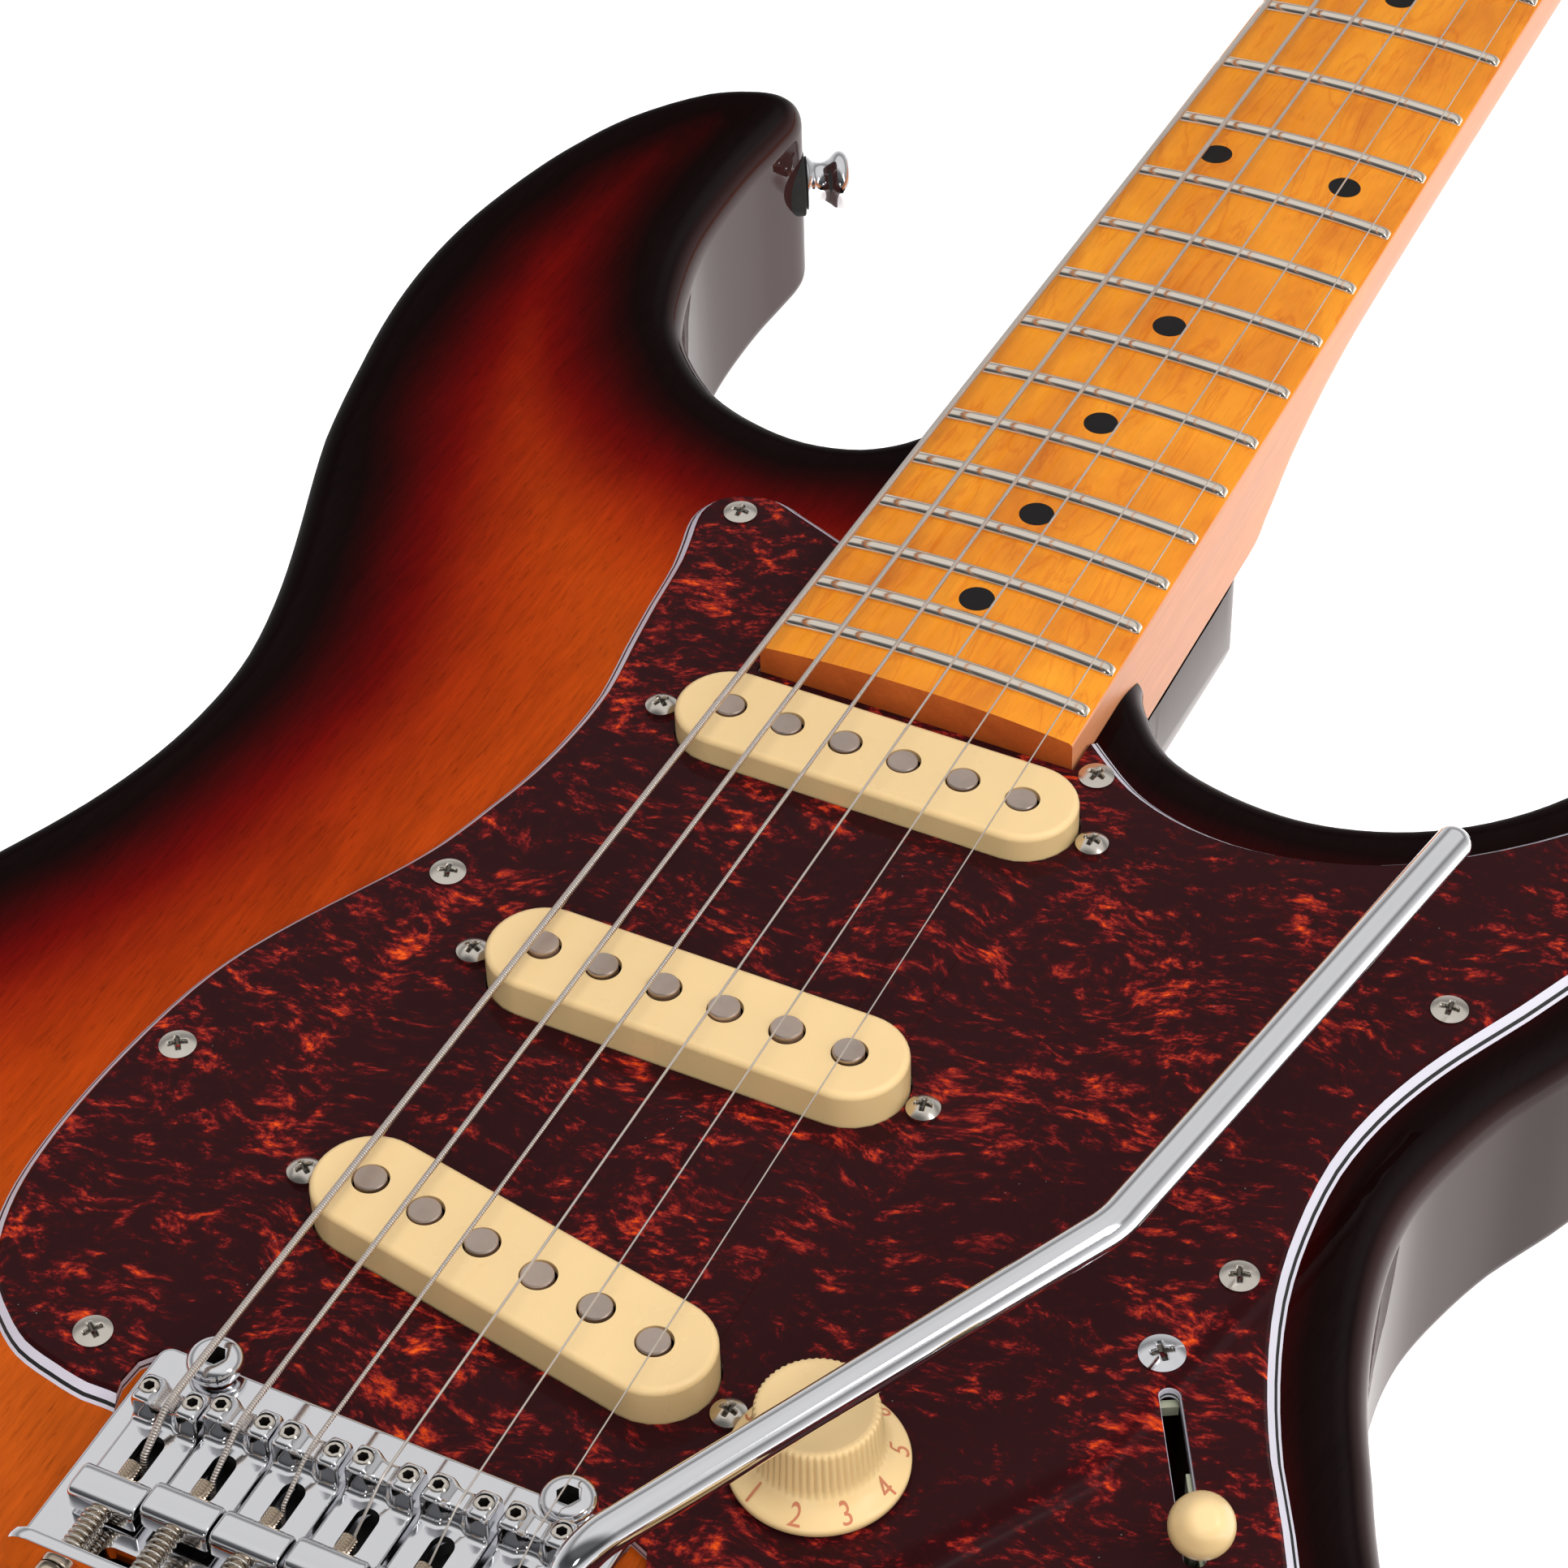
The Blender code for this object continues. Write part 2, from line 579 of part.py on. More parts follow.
def make_button(i, inner, out):
    """A tuner's key: a stem along out, and a rounded key as wide as it stands off."""
    stem = rod(f"tuner_button_{i + 1}", inner + out * 1.2, inner + out * 16, 1.55, 8)
    _, across, up = frame_on(out)
    rings = []
    for far, half in ((9.8, 3.6), (11.6, 7.4), (17.2, 8.8), (21.6, 7.2), (23.2, 3.4)):
        ring = []
        for k in range(8):
            a = 2 * math.pi * k / 8
            thick = 3.3 if half > 4 else 2.0
            spot = across * (half * math.cos(a)) + up * (thick * math.sin(a))
            ring.append(inner + out * far + spot)
        rings.append(ring)
    finish(join(stem, [stack("b", rings)]), "chrome")


# ---------------------------------------------------------------- pickguard and pickups


def pickup_axis(slant):
    """The row's direction from the bass pole to the treble pole."""
    span = 5 * POLE_PITCH
    return math.sqrt(span**2 - slant**2) / span, -slant / span


def make_pickguard():
    outline = []
    for run in PICKGUARD_RUNS:
        outline += curve_through(run, 1, False)[:-1]
    guard = prism("pickguard", outline, *PICKGUARD_Z)
    cuts = []
    for _, y, slant, _ in PICKUPS:
        shape = stadium((0, y), pickup_axis(slant), COVER_LONG + 0.8, COVER_WIDE + 0.8)
        cuts.append(prism("c", shape, 40, 50))
    cuts += [rod("c", (x, y, 40), (x, y, 50), 4.0, 12) for _, x, y in KNOBS]
    cuts.append(prism("c", stadium(SLOT_CENTRE, SLOT_ALONG, 2 * SLOT_HALF, 2.9, 4), 40, 50))
    finish(boolean(guard, cuts), "tortoise")


def make_pickups():
    for name, y, slant, top in PICKUPS:
        along = pickup_axis(slant)
        at = (0.0, y)
        levels = ((0, COVER_FOOT_Z), (0, top - 1.0), (0.3, top - 0.3), (1.0, top))
        rings = []
        for d, z in levels:
            shape = stadium(at, along, COVER_LONG - 2 * d, COVER_WIDE - 2 * d, 6)
            rings.append([(px, py, z) for px, py in shape])
        cover = stack(f"pickup_cover_{name}", rings)
        inner = stadium(at, along, COVER_LONG - 3, COVER_WIDE - 3, 4)
        cuts = [prism("c", inner, COVER_FOOT_Z - 3, top - 1.5)]
        poles = []
        for i in range(STRINGS):
            f = (i - 2.5) * POLE_PITCH
            px, py = f * along[0], y + f * along[1]
            cuts.append(rod("c", (px, py, 30), (px, py, 60), POLE_R + 0.45, 8))
            poles.append(rod("b", (px, py, 31.0), (px, py, top - 0.1), POLE_R, 8))
        finish(boolean(cover, cuts), "cream")
        coil = prism(f"pickup_coil_{name}", stadium(at, along, 63, 11, 4), 32, top - 3)
        finish(join(coil, poles), "steel")


# ---------------------------------------------------------------- controls


def make_controls():
    profile = [(3.3, 55.2), (3.3, KNOB_Z + 0.2), (12.5, KNOB_Z), (12.8, KNOB_Z + 1.2),
               (11.0, 49.5), (9.5, 50.8), (8.8, 51.8), (8.4, 58.3), (7.8, 59.2)]
    for name, x, y in KNOBS:
        turned(f"knob_{name}", profile, (x, y, 0), sides=16, look="cream")
    field = [(44, 34), (52, 44), (80, 70), (92, 70), (108, 46), (116, 22), (117, -14),
             (110, -36), (98, -46), (86, -46), (74, -30), (62, -6)]
    plate = prism("control_assembly", field, 41.6, 43.0)
    parts = []
    for _, x, y in KNOBS:
        pot = [(11.0, 30.0), (11.0, 41.0), (5.5, 42.0), (3.2, 43.5), (SHAFT_R, 54.6)]
        parts.append(turned("b", pot, (x, y, 0), sides=12))
    along = Vector((*SLOT_ALONG, 0))
    side = Vector((-SLOT_ALONG[1], SLOT_ALONG[0], 0))
    middle = Vector((*SLOT_CENTRE, 0))
    for s in (-1, 1):
        corners = [middle + along * a + side * (s * b)
                   for a, b in ((-20, 2.4), (20, 2.4), (20, 4.4), (-20, 4.4))]
        cheek = prism("b", [(c.x, c.y) for c in corners], 16.0, 42.0)
        parts.append(cheek)
    join(plate, parts)
    slot = prism("c", stadium(SLOT_CENTRE, SLOT_ALONG, 38, 4.0, 3), 20, 50)
    finish(boolean(plate, [slot]), "steel")
    make_lever(middle, along, side)


def make_lever(middle, along, side):
    """A flat lever on a pivot under the plate, leaning along its slot, with a round tip."""
    pivot = middle + Vector((0, 0, LEVER_PIVOT_Z))
    a = math.radians(LEVER_TILT)
    up = along * math.sin(a) + Vector((0, 0, math.cos(a)))
    flat = along * math.cos(a) - Vector((0, 0, math.sin(a)))
    rings = []
    for far, half in ((-3.0, 3.0), (10.0, 3.0), (26.0, 2.2), (LEVER_LONG, 2.0)):
        spots = ((half, 0.7), (-half, 0.7), (-half, -0.7), (half, -0.7))
        rings.append([pivot + up * far + flat * f + side * s for f, s in spots])
    lever = stack("switch_lever", rings)
    tip = [(2.0, -4.6), (3.7, -3.4), (4.6, -0.9), (4.6, 1.0), (3.7, 3.3), (2.0, 4.6)]
    join(lever, [turned("b", tip, pivot + up * LEVER_LONG, up, 12)])
    finish(lever, "cream")


# ---------------------------------------------------------------- tremolo


def make_trem_posts():
    profile = [(3.4, 24.0), (3.4, 45.0), (POST_NECK_R, 46.0), (POST_NECK_R, 51.8), (4.1, 52.1),
               (4.1, 54.0), (3.6, 54.6), (1.8, 54.6), (1.8, 50.5)]
    for name, side in (("bass", -1), ("treble", 1)):
        at = (side * TREM_POST[0], TREM_POST[1], 0)
        turned(f"trem_post_{name}", profile, at, sides=12, look="chrome")


def make_bridge():
    (x0, x1), (y0, y1) = PLATE_X, PLATE_Y
    ax, ay = ARM_AT
    outline = [(x0, y0 + 4), (x0, y1 - 1.5), (x0 + 1.5, y1), (x1 - 1.5, y1), (x1, y1 - 1.5),
               (x1, ay + 9), (EAR_X, ay + 5.5), (EAR_X, ay - 5.5), (x1, ay - 9),
               (x1, y0 + 4), (x1 - 4, y0), (x0 + 4, y0)]
    plate = prism("bridge_plate", outline, *PLATE_Z)
    wall = [(x0 + 4, 49.5), (x1 - 4, 49.5), (x1 - 4, 55.4), (x1 - 6.5, 58.6), (x0 + 6.5, 58.6),
            (x0 + 4, 55.4)]
    back = stack("b", [[(x, y, z) for x, z in wall] for y in (y0, y0 + 2.2)])
    join(plate, [back, rod("b", (ax, ay, 46.8), (ax, ay, 50.0), 4.2, 12)])
    cuts = []
    for side in (-1, 1):
        px, py = side * TREM_POST[0], TREM_POST[1]
        r = POST_NECK_R + 0.4
        cuts.append(rod("c", (px, py, 40), (px, py, 56), r, 16))
        cuts.append(box("c", (px - r, py, 40), (px + r, py + 8, 56)))
    for i in range(STRINGS):
        x = string_x(i, 0)
        cuts.append(rod("c", (x, STRING_HOLE_Y, 40), (x, STRING_HOLE_Y, 55), 2.4, 8))
    cuts.append(rod("c", (*ARM_AT, 40), (*ARM_AT, 60), ARM_R + GAP, 12))
    finish(boolean(plate, cuts), "chrome")
    block = box("trem_block", (BLOCK_X[0], BLOCK_Y[0], 9.0), (BLOCK_X[1], BLOCK_Y[1], 48.2))
    holes = []
    for i in range(STRINGS):
        x = string_x(i, 0)
        holes.append(rod("c", (x, STRING_HOLE_Y, 5), (x, STRING_HOLE_Y, 15), 2.9, 8))
        holes.append(rod("c", (x, STRING_HOLE_Y, 12), (x, STRING_HOLE_Y, 60), 1.5, 6))
    finish(boolean(block, holes), "steel")


def make_saddles():
    for i in range(STRINGS):
        x, y, z = string_break(i)
        foot = z - 5.0
        crown = z + 1.4
        profile = [(y + 1.9, foot), (y + 2.2, foot + 2.0), (y + 2.1, crown - 1.4),
                   (y + 1.4, crown - 0.2), (y, crown), (y - 1.6, crown - 0.3),
                   (y - 3.4, crown - 1.6), (y - 4.2, foot + 1.8), (y - 5.2, foot + 1.3),
                   (y - 12.8, foot + 1.3), (y - 13.4, foot + 3.4), (y - 14.3, foot + 4.0),
                   (y - 18.2, foot + 4.0), (y - 19.0, foot + 3.2), (y - 19.0, foot)]
        saddle = extrude_x(f"saddle_{i + 1}", profile, x - 5.3, x + 5.3)
        r = STRING_RADII[i]
        groove = [(x - r - 1.9, z + 3), (x - r - 0.35, z - r - GAP), (x + r + 0.35, z - r - GAP),
                  (x + r + 1.9, z + 3)]
        cut = stack("c", [[(px, py, pz) for px, pz in groove] for py in (y - 5, y + 6)])
        slot = box("c", (x - 1.9, y - 12, foot - 2), (x + 1.9, y - 1.3, z + 4))
        finish(boolean(saddle, [cut, slot]), "chrome")


def filleted(corners, bends, steps):
    """A line through corners, with an arc of each bend's radius at the inner ones."""
    line = [Vector(corners[0])]
    for k, radius in enumerate(bends):
        here = Vector(corners[k + 1])
        back = (Vector(corners[k]) - here).normalized()
        ahead = (Vector(corners[k + 2]) - here).normalized()
        half = back.angle(ahead) / 2
        middle = here + (back + ahead).normalized() * (radius / math.sin(half))
        start = (here + back * (radius / math.tan(half)) - middle).normalized()
        end = (here + ahead * (radius / math.tan(half)) - middle).normalized()
        for j in range(steps + 1):
            line.append(middle + start.slerp(end, j / steps) * radius)
    line.append(Vector(corners[-1]))
    return line


def make_arm():
    path = filleted(ARM_CORNERS, ARM_BENDS, 4)
    rings = []
    across = Vector((0, 1, 0))
    for k, spot in enumerate(path):
        before = path[k] - path[k - 1] if k else path[1] - path[0]
        after = path[k + 1] - path[k] if k + 1 < len(path) else before
        along = (before.normalized() + after.normalized()).normalized()
        across = (across - along * across.dot(along)).normalized()
        other = along.cross(across)
        turns = [2 * math.pi * j / 10 for j in range(10)]
        rings.append([spot + (across * math.cos(a) + other * math.sin(a)) * ARM_R for a in turns])
    end, tip = rings[-1], path[-1]
    for far, share in ((1.4, 0.86), (2.4, 0.5)):
        rings.append([tip + along * far + (p - tip) * share for p in end])
    stack("trem_arm", rings, "chrome")


def make_springs():
    """The tremolo's springs as plain bodies between the block and the claw."""
    for k, x in enumerate((-21.0, 0.0, 21.0)):
        profile = [(1.0, BLOCK_Y[1] + 0.4), (1.0, 3.0), (3.6, 5.0), (3.6, 84.0), (1.0, 87.0),
                   (1.0, 91.0)]
        turned(f"trem_spring_{k + 1}", profile, (x, 0, 12.8), (0, 1, 0), 8, "steel")


# ---------------------------------------------------------------- strings


def string_wrap_z(i):
    """How high the first turn stands on its post, lower towards the headstock's end."""
    return 51.6 - 0.75 * i


def make_strings():
    for i in range(STRINGS):
        r = STRING_RADII[i]
        bx, by, bz = string_break(i)
        nx, ny, nz = string_nut(i)
        cx, cy = post_centre(i)
        reach = POST_R + r + 0.3
        top = string_wrap_z(i)
        path = [(bx, STRING_HOLE_Y, 13.0), (bx, STRING_HOLE_Y, 49.6),
                (bx, STRING_HOLE_Y + 0.6, bz - 3.2), (bx, by - 1.2, bz - 0.15), (bx, by, bz),
                (string_x(i, by + 2), by + 2, bz - 0.02), (nx, ny - 0.6, nz), (nx, ny + 0.8, nz)]
        turns = 9
        drop = 2 * r + 0.35
        for k in range(turns + 1):
            a = 2 * math.pi * 1.5 * k / turns
            path.append((cx + reach * math.cos(a), cy + reach * math.sin(a),
                         top - drop * a / (2 * math.pi)))
        curve = bpy.data.curves.new(f"string_{i + 1}", "CURVE")
        curve.dimensions = "3D"
        curve.bevel_depth = r * MM
        curve.bevel_resolution = 2
        curve.use_fill_caps = True
        line = curve.splines.new("POLY")
        line.points.add(len(path) - 1)
        for point, spot in zip(line.points, path):
            point.co = (*(v * MM for v in spot), 1.0)
        made = bpy.data.objects.new(f"string_{i + 1}", curve)
        bpy.context.scene.collection.objects.link(made)
        curve.materials.append(material("steel"))


make_body()
make_body_hardware()
make_neck()
make_fretboard()
make_nut()
make_tuners()
make_pickguard()
make_pickups()
make_controls()
make_trem_posts()
make_bridge()
make_saddles()
make_arm()
make_springs()
make_strings()
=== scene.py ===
"""Looks of a solid-body electric guitar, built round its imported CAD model.

Lengths here are in millimetres in the model's frame, and become metres where a mesh is made.
z = 0 is the flat back, z = 44 the face of the body, +Y runs from the bridge to the headstock
and +X is the treble side. y = 0 is the bridge end of the 648 mm string scale.
"""

import math

import bmesh
import bpy
import numpy as np
from mathutils import Matrix, Vector
from mathutils.geometry import delaunay_2d_cdt


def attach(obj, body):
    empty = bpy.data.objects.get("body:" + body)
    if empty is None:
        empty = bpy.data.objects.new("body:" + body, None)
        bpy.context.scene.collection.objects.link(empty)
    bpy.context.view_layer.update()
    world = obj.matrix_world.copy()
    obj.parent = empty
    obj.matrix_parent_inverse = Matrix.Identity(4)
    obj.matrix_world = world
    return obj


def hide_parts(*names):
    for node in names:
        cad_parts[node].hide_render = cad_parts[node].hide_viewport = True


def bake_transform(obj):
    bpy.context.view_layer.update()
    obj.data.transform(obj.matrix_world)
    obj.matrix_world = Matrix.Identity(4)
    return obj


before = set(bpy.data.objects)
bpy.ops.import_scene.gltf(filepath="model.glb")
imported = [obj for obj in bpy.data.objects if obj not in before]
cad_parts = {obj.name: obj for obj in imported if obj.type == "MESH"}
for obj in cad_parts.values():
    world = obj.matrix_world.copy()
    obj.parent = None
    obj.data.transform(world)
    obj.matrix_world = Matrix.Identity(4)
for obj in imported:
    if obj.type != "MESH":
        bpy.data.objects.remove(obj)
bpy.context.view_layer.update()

MM = 0.001

# strings; the pitches are between neighbours, the heights are of the strings' middles
SCALE = 648.0
FRETS = 22
DOT_FRETS = (3, 5, 7, 9, 12, 15, 17, 19, 21)
STRINGS = 6
STRING_RADII = (0.584, 0.457, 0.33, 0.216, 0.165, 0.127)
BRIDGE_PITCH = 11.2
NUT_PITCH = 7.04
STRING_Z_BRIDGE = 58.2
STRING_Z_NUT = 54.5

# body
BODY_T = 44.0
BODY_ROUND = 5.5
BACK_ROUND = 4.5
BODY_OUTLINE = (
    (0, -132.5), (36, -130.5), (72, -122.5), (104, -109), (131, -89), (150, -65), (160, -39),
    (161.5, -13), (156.5, 9), (145, 29), (129.5, 49), (121.7, 65), (116, 78), (111.8, 92),
    (109.6, 104.5), (109.5, 115), (111.8, 126), (116, 138.5), (122, 150.5), (128, 165),
    (133.5, 181), (137, 198), (138, 215), (136, 233), (132, 248), (126, 259), (119.5, 262),
    (114, 257.5), (111, 247), (109.5, 233), (106.5, 219), (100, 206), (91.2, 195.8), (81, 188.6),
    (70.5, 184.6), (61.3, 183.4), (49.5, 184.8), (39.6, 188.6), (33, 195.5), (29.3, 201),
    (27.7, 207), (27.5, 214), (27.2, 232), (27.0, 243), (26.3, 250), (23, 255.2), (14.5, 257.6),
    (-8, 257.8), (-22, 256), (-30, 250.5), (-35.3, 243.4), (-41, 238.9), (-50.2, 236.6),
    (-60.4, 237.8), (-70.5, 241.6), (-79.5, 248.8), (-86.2, 257), (-91.6, 270.5), (-94.8, 283.4),
    (-96.1, 297), (-96.3, 309), (-95.8, 319), (-96, 325.3), (-98.6, 330.1), (-103.2, 331.7),
    (-109, 330.4), (-116.8, 325.8), (-127.5, 311.8), (-132.5, 300), (-135.6, 289.7),
    (-139, 270.8), (-139.6, 253.3), (-138, 237.5), (-135, 222.6), (-129.8, 201.8),
    (-122.6, 182.5), (-115.9, 164), (-111.3, 145.5), (-110.6, 132), (-112, 118), (-116, 103),
    (-122.4, 87.4), (-131, 68), (-141.5, 46), (-151, 23), (-158.5, -1), (-161.5, -26),
    (-159.5, -51), (-150.5, -76), (-134, -98.5), (-110, -116), (-80, -127), (-42, -132),
)

# neck, fretboard and headstock
BOARD_Y = (174.0, 647.6)
BOARD_HALF = (28.1, 21.3)
BOARD_BASE_Z = 45.4
BOARD_TOP_Z = 52.85
BOARD_RADIUS = 241.0
POCKET_Z = 27.7
NUT_Y = (648.0, 651.2)
HEAD_FACE_Z = 42.5
HEAD_T = 14.0
POST_Y = 676.0
POST_STEP_Y = 25.0
POST_R = 2.9
HEAD_OUTLINE = (
    (-21.2, 650), (-22.5, 658), (-27, 666), (-32.5, 674), (-33, 680), (-24.4, 712), (-16, 744),
    (-7.6, 776), (0, 806), (5, 822), (13, 833), (25, 836), (35, 829), (38.5, 814), (36, 776),
    (31, 735), (26, 698), (22.6, 672), (21.2, 650),
)

# pickguard: curved runs with a straight one under the bridge and one under the neck
PICKGUARD_RUNS = (
    ((20, 190.6), (24.4, 186.4), (28.6, 182.9), (32.8, 179.4), (39, 174.9), (47.4, 171.6),
     (57.7, 170.3), (68.1, 171.7), (80.2, 175.8), (91.1, 182.9), (104.5, 195.3), (111, 204.5),
     (115, 213.5), (119, 219), (123.4, 219), (126, 213), (126.4, 199), (124, 184),
     (120.6, 172.5), (115.9, 162.1), (112.1, 153.7), (106.1, 141.6), (102.7, 133.5),
     (99.8, 124.1), (97.9, 112.5), (98.2, 98.8), (100.1, 86.2), (104.5, 72.1), (110.2, 59.1),
     (118.9, 43.3), (124.3, 25), (127, 5), (126, -16), (121, -35), (112, -49.5), (100, -58.5),
     (85, -62.5), (70, -58.5), (57, -46), (48.5, -29), (43.5, -13), (40.8, 0), (36, 3),
     (30, -8)),
    ((30, -8), (-30, -8)),
    ((-30, -8), (-36, -4), (-40.9, -2.1), (-46.2, -2.2), (-52.4, -1.2), (-59, 0.5), (-64.5, 4),
     (-70, 9), (-74, 15.8), (-76.8, 24.4), (-78, 33), (-78.3, 44.1), (-77.6, 56.5),
     (-75.5, 71.7), (-72.3, 82.9), (-65.9, 96.8), (-60.4, 107.5), (-56.6, 116.4), (-53.7, 127.1),
     (-51.5, 136.6), (-50.2, 148), (-50.1, 159), (-51.8, 170.5), (-53.4, 182.4), (-54.6, 193.5),
     (-56.1, 200), (-57.5, 206.5), (-56.1, 211.6), (-51.5, 214.9), (-45.8, 216.1),
     (-41.1, 214.6), (-30.6, 210.7), (-25, 208.4), (-20, 206.4)),
    ((-20, 206.4), (20, 190.6)),
)
GUARD_PLATE_CUT = ((-31, 8.8), (-35.5, 9.6), (-39.3, 8.6), (-41.6, 5.6), (-41.9, 1.5),
                   (-40.9, -2.1), (-38, -20), (38, -20), (43.5, -13), (40.8, 0), (40.2, 4.5),
                   (38.8, 7.4), (35.8, 8.6), (31, 8.8))
GUARD_TOP_Z = 46.4
# (height, distance inward) from the bottom of the sloping edge, and the rows of each ply
GUARD_LEVELS = ((44.02, -0.3), (44.42, 0.1), (44.84, 0.54), (45.8, 1.58), (46.3, 2.04),
                (46.4, 2.18))
GUARD_PLIES = (("pickguard_base_ply", "ply_white", (0, 1)),
               ("pickguard_black_ply", "ply_black", (1, 2)),
               ("pickguard_white_ply", "ply_white", (2, 3)),
               ("pickguard_face", "tortoise", (3, 4, 5)))
GUARD_NECK_CUT = ((-28.6, 173.4), (28.6, 173.4), (28.4, 215), (-28.4, 215))

# pickups are (name, y, how far the treble end is turned down, top, how proud the poles stand)
PICKUPS = (("neck", 159.1, 0.0, 51.2, 0.2), ("middle", 96.6, 0.0, 52.9, 0.8),
           ("bridge", 39.7, 9.0, 53.1, 0.3))
COVER_LONG = 70.2
COVER_WIDE = 17.8
POLE_PITCH = 10.4
POLE_R = 2.45

# controls
KNOBS = (("volume", 53.4, 30.3), ("tone_a", 77.2, -1.3), ("tone_b", 101.0, -32.9))
SLOT_CENTRE = (99.0, 50.3)
SLOT_ALONG = (0.496, -0.868)
LEVER_PIVOT_Z = 22.5
LEVER_LONG = 39.5
LEVER_TILT = 26.0

# bridge and arm
TREM_POST = (28.0, 5.8)
PLATE_X = (-37.4, 37.5)
PLATE_Y = (-34.4, 7.0)
PLATE_Z = (48.5, 51.0)
STRING_HOLE_Y = -13.2
SADDLE_HIGH = 5.0
SADDLE_SCREW_UP = 2.1
SADDLE_Y = (-4.4, -3.6, -3.9, -3.3, -2.6, -1.6)
ARM_AT = (37.0, -12.3)
ARM_R = 2.85
ARM_CORNERS = ((37.0, -12.3, 48.0), (37.0, -12.3, 66.4), (81.0, 65.9, 73.0), (98.3, 151.8, 77.5))
ARM_BENDS = (9.0, 16.0)

# jack, strap buttons (place, axis), springs and screws
JACK_AT = (113.0, -79.0)
JACK_ALONG = (0.77, 0.638)
STRAPS = {"upper": ((-96.6, 327.0, 25.5), (0.86, 0.51, 0.0)),
          "end": ((0.0, -132.7, 22.0), (0.0, -1.0, 0.0))}
SPRING_Z = 12.8
NECK_BOLTS = ((-18, 190), (18, 190), (-18, 237), (9, 237))
GUARD_SCREWS = ((-49.4, 208.5), (-50.9, 109.8), (-69.4, 59.7), (-50.1, 7.0), (32.6, 173.5),
                (101.6, 148.7), (92.8, 86.3), (118.0, 205.0), (119.0, -20.0), (63.0, -40.0))
SWITCH_SCREWS = ((88.3, 68.6), (108.9, 32.6))


def linked(name, data):
    """A new object with this mesh, light or camera, in the scene."""
    made = bpy.data.objects.new(name, data)
    bpy.context.scene.collection.objects.link(made)
    return made


# ---------------------------------------------------------------- camera, stage and light

# in metres; the axes are the camera's right, up and back
CAMERA_AT = (0.22207, -0.29391, 0.51788)
CAMERA_AXES = ((0.89425, 0.44699, -0.02266), (-0.29123, 0.61959, 0.72890),
               (0.33985, -0.64522, 0.68424))
FLOOR_HALF = 6.0
FLOOR_Z = -0.16
# name, place, target, (width, height), watts, whether reflections show it, tint
LAMPS = (
    ("key", (0.6, -0.8, 1.15), (0, 0.05, 0.05), (1.1, 1.0), 14.0, False),
    ("over", (0.3, 0.15, 1.3), (0, 0.08, 0.05), (0.9, 0.7), 7.0, False),
    ("side", (0.95, 0.05, 0.85), (0, 0.05, 0.04), (0.22, 0.7), 2.0, True),
    ("fill", (0.9, 0.25, 0.35), (0, 0.1, 0.04), (0.3, 0.8), 2.7, False, (1.0, 0.97, 0.86)),
    ("front", (0.1, -1.1, 0.5), (0, 0.0, 0.05), (1.0, 0.5), 2.2, False, (1.0, 0.95, 0.86)),
    ("sparkle", (0.2, -0.9, 0.5), (0, 0.0, 0.05), (0.12, 0.12), 0.4, True),
)
# how bright the room is by the height of the direction looked in, from level to straight up
ROOM_STOPS = ((0.0, 1.0), (0.05, 0.9), (0.3, 0.6), (0.46, 0.34), (0.54, 0.42), (0.62, 0.76),
              (0.7, 0.96), (0.85, 0.92), (1.0, 1.0))


def make_camera():
    data = bpy.data.cameras.new("camera")
    data.lens = 98.4
    data.sensor_width = 36.0
    data.clip_start = 0.01
    camera = linked("camera", data)
    turn = Matrix(CAMERA_AXES).transposed().to_4x4()
    camera.matrix_world = Matrix.Translation(CAMERA_AT) @ turn
    bpy.context.scene.camera = camera


def softbox(name, place, target, size, power, mirrored=True, tint=(1, 1, 1)):
    data = bpy.data.lights.new(name, "AREA")
    data.shape = "RECTANGLE"
    data.size, data.size_y = size
    data.energy = power
    data.color = tint
    lamp = linked(name, data)
    lamp.visible_glossy = mirrored
    way = Vector(target) - Vector(place)
    aim = way.to_track_quat("-Z", "Y").to_matrix().to_4x4()
    lamp.matrix_world = Matrix.Translation(place) @ aim


def make_stage():
    mesh = bpy.data.meshes.new("floor")
    signs = ((-1, -1), (1, -1), (1, 1), (-1, 1))
    mesh.from_pydata([(x * FLOOR_HALF, y * FLOOR_HALF, FLOOR_Z) for x, y in signs], [],
                     [(0, 1, 2, 3)])
    floor = linked("floor", mesh)
    look = bpy.data.materials.new("floor_white")
    look.use_nodes = True
    shader = look.node_tree.nodes["Principled BSDF"]
    shader.inputs["Base Color"].default_value = (0.93, 0.93, 0.93, 1)
    shader.inputs["Roughness"].default_value = 0.9
    shader.inputs["Specular IOR Level"].default_value = 0.0
    shader.inputs["Emission Color"].default_value = (1, 1, 1, 1)
    shader.inputs["Emission Strength"].default_value = 0.45
    mesh.materials.append(look)


